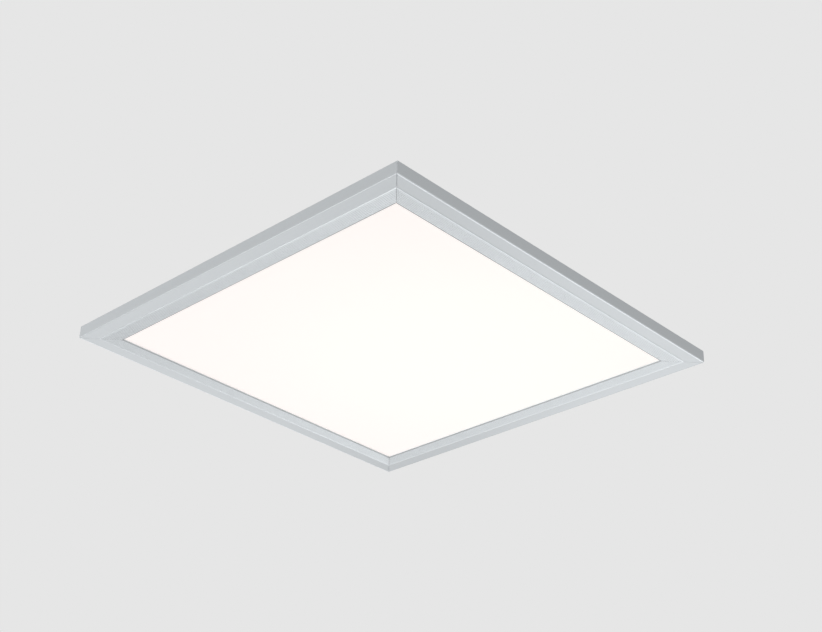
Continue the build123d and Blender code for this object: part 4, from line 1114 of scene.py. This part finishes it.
class LIGHT_OT_ceiling_bracket(bpy.types.Operator):
    """Round the sheet edges of the bracket's plate and arms"""

    bl_idname = "panel_light.ceiling_bracket"
    bl_label = "Ceiling bracket"

    def execute(self, context):
        for node in ("ceiling_bracket", "bracket_arm_left", "bracket_arm_right"):
            round_off(node, "sheet", context.scene.light_edges.sheet)
        return {"FINISHED"}


class LIGHT_OT_hook_studs(bpy.types.Operator):
    """Turn the hook studs that the tray hangs on"""

    bl_idname = "panel_light.hook_studs"
    bl_label = "Hook studs"

    def execute(self, context):
        sizes = context.scene.light_fasteners
        low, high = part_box("hook_studs")
        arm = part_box("bracket_arm_left")[1].z
        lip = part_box("housing_tray")[1].z - sizes.tray_sheet
        shank = sizes.hook_shank / 2
        head = sizes.hook_head / 2
        edge = sizes.hook_edge
        collar = sizes.hook_collar
        outline = [
            (head - edge, low.z),
            (head - edge / 3, low.z + edge / 3),
            (head, low.z + edge),
            (head, lip - edge / 2),
            (head - edge / 2, lip),
            (shank, lip),
            (shank, arm),
            (shank + collar, arm),
            (shank + 0.9 * collar, arm + 0.4 * collar),
            (shank + 0.4 * collar, high.z),
        ]
        repeat(turned("hook_stud", outline), "hook_studs", 0.0)
        return {"FINISHED"}


class LIGHT_OT_bushes(bpy.types.Operator):
    """Round the rubber bush of the cable hole and the grommet of the strip lead"""

    bl_idname = "panel_light.bushes"
    bl_label = "Bush and grommet"

    def execute(self, context):
        edges = context.scene.light_edges
        round_off("cable_bush", "rubber", edges.bush, SOFT_EDGE_SEGMENTS)
        round_off("lead_grommet", "rubber", edges.grommet, SOFT_EDGE_SEGMENTS)
        return {"FINISHED"}


class LIGHT_OT_lock_screws(bpy.types.Operator):
    """Knurl the two lock screws and round the press nuts that they turn in"""

    bl_idname = "panel_light.lock_screws"
    bl_label = "Lock screws"

    def execute(self, context):
        sizes = context.scene.light_fasteners
        tree = knurl_tree()
        for side, sign in ENDS.items():
            node = f"lock_screw_{side}"
            low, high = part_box(node)
            overall = high.x - low.x
            base = overall - sizes.lock_head_height
            body = sizes.lock_head / 2 - sizes.knurl_rise
            bottom = base + sizes.lock_edge
            ridge = loose(ridge_mesh(sizes, body, bottom, overall - sizes.lock_slot_depth))
            mesh = tree.run(
                lock_screw(sizes, body, base, overall),
                ridge=ridge,
                count=sizes.knurl_count,
                radius=body,
                material=finish_of(SLOT_OF[node]),
            )
            bpy.data.objects.remove(ridge)
            middle = (low + high) / 2
            tip = low.x if sign > 0 else high.x
            outward = Matrix.Rotation(sign * pi / 2, 4, "Y")
            mesh.transform(Matrix.Translation((tip, middle.y, middle.z)) @ outward)
            settle(f"{node}_knurled", smoothed(mesh), node)
            round_off(f"press_nut_{side}", "rounded", context.scene.light_edges.sheet)
        return {"FINISHED"}


def lock_screw(sizes, body, base, overall):
    """Return a lock screw that stands on its tip, its head dished and slotted but not yet knurled."""
    shank = sizes.lock_shank / 2
    outline = [
        (shank - sizes.lock_tip, 0.0),
        (shank, sizes.lock_tip),
        (shank, base),
        (body - sizes.lock_edge, base),
        (body, base + sizes.lock_edge),
        (body, overall - sizes.lock_rim),
        (body - sizes.lock_rim, overall),
        (body * DISH_RIM, overall),
        (body * DISH_FLOOR, overall - sizes.lock_dish),
    ]
    screw = turned("lock_screw", outline, 2 * sizes.knurl_count)
    # The slot's cutter is longer than the head is wide, so that it goes right across.
    across = sizes.lock_head * 1.2
    slot = Vector((across, sizes.lock_slot_width, 2 * sizes.lock_slot_depth))
    return cut(screw, (Vector((0.0, 0.0, overall)), slot))


def ridge_mesh(sizes, body, bottom, top):
    """Return one knurl ridge: a three-sided bar with sloping ends, sunk a little into the YZ plane."""
    rise = sizes.knurl_rise
    sink = rise / 4
    half = sizes.knurl_share * pi * body / sizes.knurl_count
    points = [
        (-sink, -half, bottom),
        (-sink, half, bottom),
        (-sink, half, top),
        (-sink, -half, top),
        (rise, 0.0, bottom + rise),
        (rise, 0.0, top - rise),
    ]
    faces = [(0, 3, 2, 1), (0, 1, 4), (2, 3, 5), (1, 2, 5, 4), (3, 0, 4, 5)]
    mesh = bpy.data.meshes.new("knurl_ridge")
    mesh.from_pydata(points, [], faces)
    return mesh


class LIGHT_OT_driver(bpy.types.Operator):
    """Round the driver's case and dress what is inside it"""

    bl_idname = "panel_light.driver"
    bl_label = "LED driver"

    def execute(self, context):
        edges = context.scene.light_edges
        round_off("driver_base", "moulding", edges.driver)
        round_off("driver_cover", "moulding", edges.moulding)
        dress("driver_board", "driver_transformer", "driver_choke", "driver_fuse", "driver_switch")
        dress("driver_input_capacitor", "driver_output_capacitor")
        return {"FINISHED"}


class LIGHT_OT_terminal(bpy.types.Operator):
    """Round the terminal's body, notch its release buttons and dress its contacts"""

    bl_idname = "panel_light.terminal"
    bl_label = "Supply terminal"

    def execute(self, context):
        edges = context.scene.light_edges
        round_off("terminal_body", "moulding", edges.moulding)
        for pole in POLES:
            node = f"terminal_button_{pole}"
            low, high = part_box(node)
            top = Vector(((low.x + high.x) / 2, (low.y + high.y) / 2, high.z))
            notched = cut(softened(node, edges.moulding), (top, Vector(edges.notch)))
            settle(f"{node}_notched", smoothed(notched), node)
        dress("terminal_contacts")
        return {"FINISHED"}


class LIGHT_OT_wiring(bpy.types.Operator):
    """Dress the leads and round the earth lug and the lead clip"""

    bl_idname = "panel_light.wiring"
    bl_label = "Wiring"

    def execute(self, context):
        edges = context.scene.light_edges
        dress("strip_link_lead", "led_lead", "live_lead", "neutral_lead", "earth_lead")
        round_off("earth_lug", "crimp", edges.lug)
        round_off("lead_clip", "saddle", edges.moulding)
        return {"FINISHED"}


class LIGHT_OT_stage(bpy.types.Operator):
    """Set the floor, the backdrop, the lamps and the camera"""

    bl_idname = "panel_light.stage"
    bl_label = "Stage"

    def execute(self, context):
        settings = context.scene.light_stage
        context.scene.view_settings.view_transform = "Standard"
        lay_floor(settings)
        hang_backdrop(settings)
        aim_lamps(settings)
        set_camera(settings)
        return {"FINISHED"}


def shown_rays(nodes):
    """Return 1 for what the camera, a reflection or clear plastic shows, and 0 for the light itself."""
    path = nodes.add("ShaderNodeLightPath").outputs
    shown = nodes.math("MAXIMUM", path["Is Camera Ray"], path["Is Glossy Ray"])
    return nodes.math("MAXIMUM", shown, path["Is Transmission Ray"])


def lay_floor(settings):
    """Lay a plain pale floor far below the light, which shows the backdrop's colour and shadows."""
    reach = settings.floor_reach
    mesh = bpy.data.meshes.new("stage_floor")
    corners = [(-reach, -reach), (reach, -reach), (reach, reach), (-reach, reach)]
    mesh.from_pydata([(x, y, -settings.floor_drop) for x, y in corners], [], [(0, 1, 2, 3)])
    floor = loose(mesh)
    material = bpy.data.materials.new("stage_floor")
    material.use_nodes = True
    nodes = Nodes(material.node_tree)
    inputs = nodes.tree.nodes["Principled BSDF"].inputs
    surface = settings.floor_shade * Vector(settings.backdrop)
    inputs["Base Color"].default_value = (*surface, 1.0)
    inputs["Roughness"].default_value = 0.9
    inputs["Emission Color"].default_value = (*settings.backdrop, 1.0)
    lift = nodes.math("MULTIPLY", shown_rays(nodes), settings.floor_lift)
    nodes.feed(inputs["Emission Strength"], lift)
    mesh.materials.append(material)


def hang_backdrop(settings):
    """Show the backdrop's colour to the camera and in reflections, and light evenly from all round."""
    world = bpy.context.scene.world or bpy.data.worlds.new("backdrop")
    bpy.context.scene.world = world
    world.use_nodes = True
    nodes = Nodes(world.node_tree)
    nodes.tree.nodes.clear()
    seen = nodes.add("ShaderNodeBackground", {"Color": (*settings.backdrop, 1.0)})
    even = nodes.add("ShaderNodeBackground", {"Strength": settings.ambient})
    shaders = {1: even.outputs["Background"], 2: seen.outputs["Background"]}
    mix = nodes.add("ShaderNodeMixShader", {0: shown_rays(nodes), **shaders})
    nodes.add("ShaderNodeOutputWorld", {"Surface": mix.outputs["Shader"]})


def aim_lamps(settings):
    """Aim large soft lamps at the light."""
    for name, (place, size, power) in LAMPS.items():
        lamp = bpy.data.lights.new(f"{name}_lamp", "AREA")
        lamp.size = size
        lamp.energy = power * settings.lamp_level
        holder = bpy.data.objects.new(f"{name}_lamp", lamp)
        holder.location = place
        holder.rotation_euler = (-Vector(place)).to_track_quat("-Z", "Y").to_euler()
        holder.visible_camera = False
        bpy.context.scene.collection.objects.link(holder)


def set_camera(settings):
    """Stand the camera where the photograph was taken from."""
    camera = bpy.data.cameras.new("camera")
    camera.lens = settings.lens
    holder = bpy.data.objects.new("camera", camera)
    bpy.context.scene.collection.objects.link(holder)
    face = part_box("frame_side_front")[0].z + bpy.context.scene.light_frame.ridge_rise
    yaw, pitch = settings.yaw, settings.pitch
    ahead = Vector((cos(pitch) * cos(yaw), cos(pitch) * sin(yaw), sin(pitch)))
    level_right = Vector((sin(yaw), -cos(yaw), 0.0))
    level_up = level_right.cross(ahead)
    right = cos(settings.roll) * level_right + sin(settings.roll) * level_up
    up = cos(settings.roll) * level_up - sin(settings.roll) * level_right
    turn = Matrix((right, up, -ahead)).transposed().to_4x4()
    place = Vector(settings.camera_offset) + Vector((0.0, 0.0, face))
    holder.matrix_world = Matrix.Translation(place) @ turn
    bpy.context.scene.camera = holder


OPERATORS = (
    LIGHT_OT_frame_sides,
    LIGHT_OT_optics,
    LIGHT_OT_foam_pad,
    LIGHT_OT_back_cover,
    LIGHT_OT_cover_screws,
    LIGHT_OT_housing_tray,
    LIGHT_OT_tray_rivets,
    LIGHT_OT_studs_and_nuts,
    LIGHT_OT_ceiling_bracket,
    LIGHT_OT_hook_studs,
    LIGHT_OT_bushes,
    LIGHT_OT_lock_screws,
    LIGHT_OT_driver,
    LIGHT_OT_terminal,
    LIGHT_OT_wiring,
    LIGHT_OT_stage,
)
GROUPS = {
    "light_frame": PanelFrameSettings,
    "light_fasteners": FastenerSettings,
    "light_edges": EdgeSettings,
    "light_finishes": FinishSettings,
    "light_stage": StageSettings,
}


class LIGHT_PT_panel(bpy.types.Panel):
    """List the steps that build the light"""

    bl_idname = "LIGHT_PT_panel"
    bl_label = "Panel light"
    bl_space_type = "VIEW_3D"
    bl_region_type = "UI"
    bl_category = "Panel light"

    def draw(self, context):
        for operator in OPERATORS:
            self.layout.operator(operator.bl_idname)


def register():
    """Register the settings, the operators and the panel."""
    for name, group in GROUPS.items():
        bpy.utils.register_class(group)
        setattr(bpy.types.Scene, name, PointerProperty(type=group))
    for cls in (*OPERATORS, LIGHT_PT_panel):
        bpy.utils.register_class(cls)


def unregister():
    """Undo register."""
    for cls in (LIGHT_PT_panel, *reversed(OPERATORS)):
        bpy.utils.unregister_class(cls)
    for name, group in GROUPS.items():
        delattr(bpy.types.Scene, name)
        bpy.utils.unregister_class(group)


def main():
    """Build the light step by step."""
    register()
    for operator in OPERATORS:
        step = operator.bl_idname.split(".")[1]
        getattr(bpy.ops.panel_light, step)()


if __name__ == "__main__":
    main()
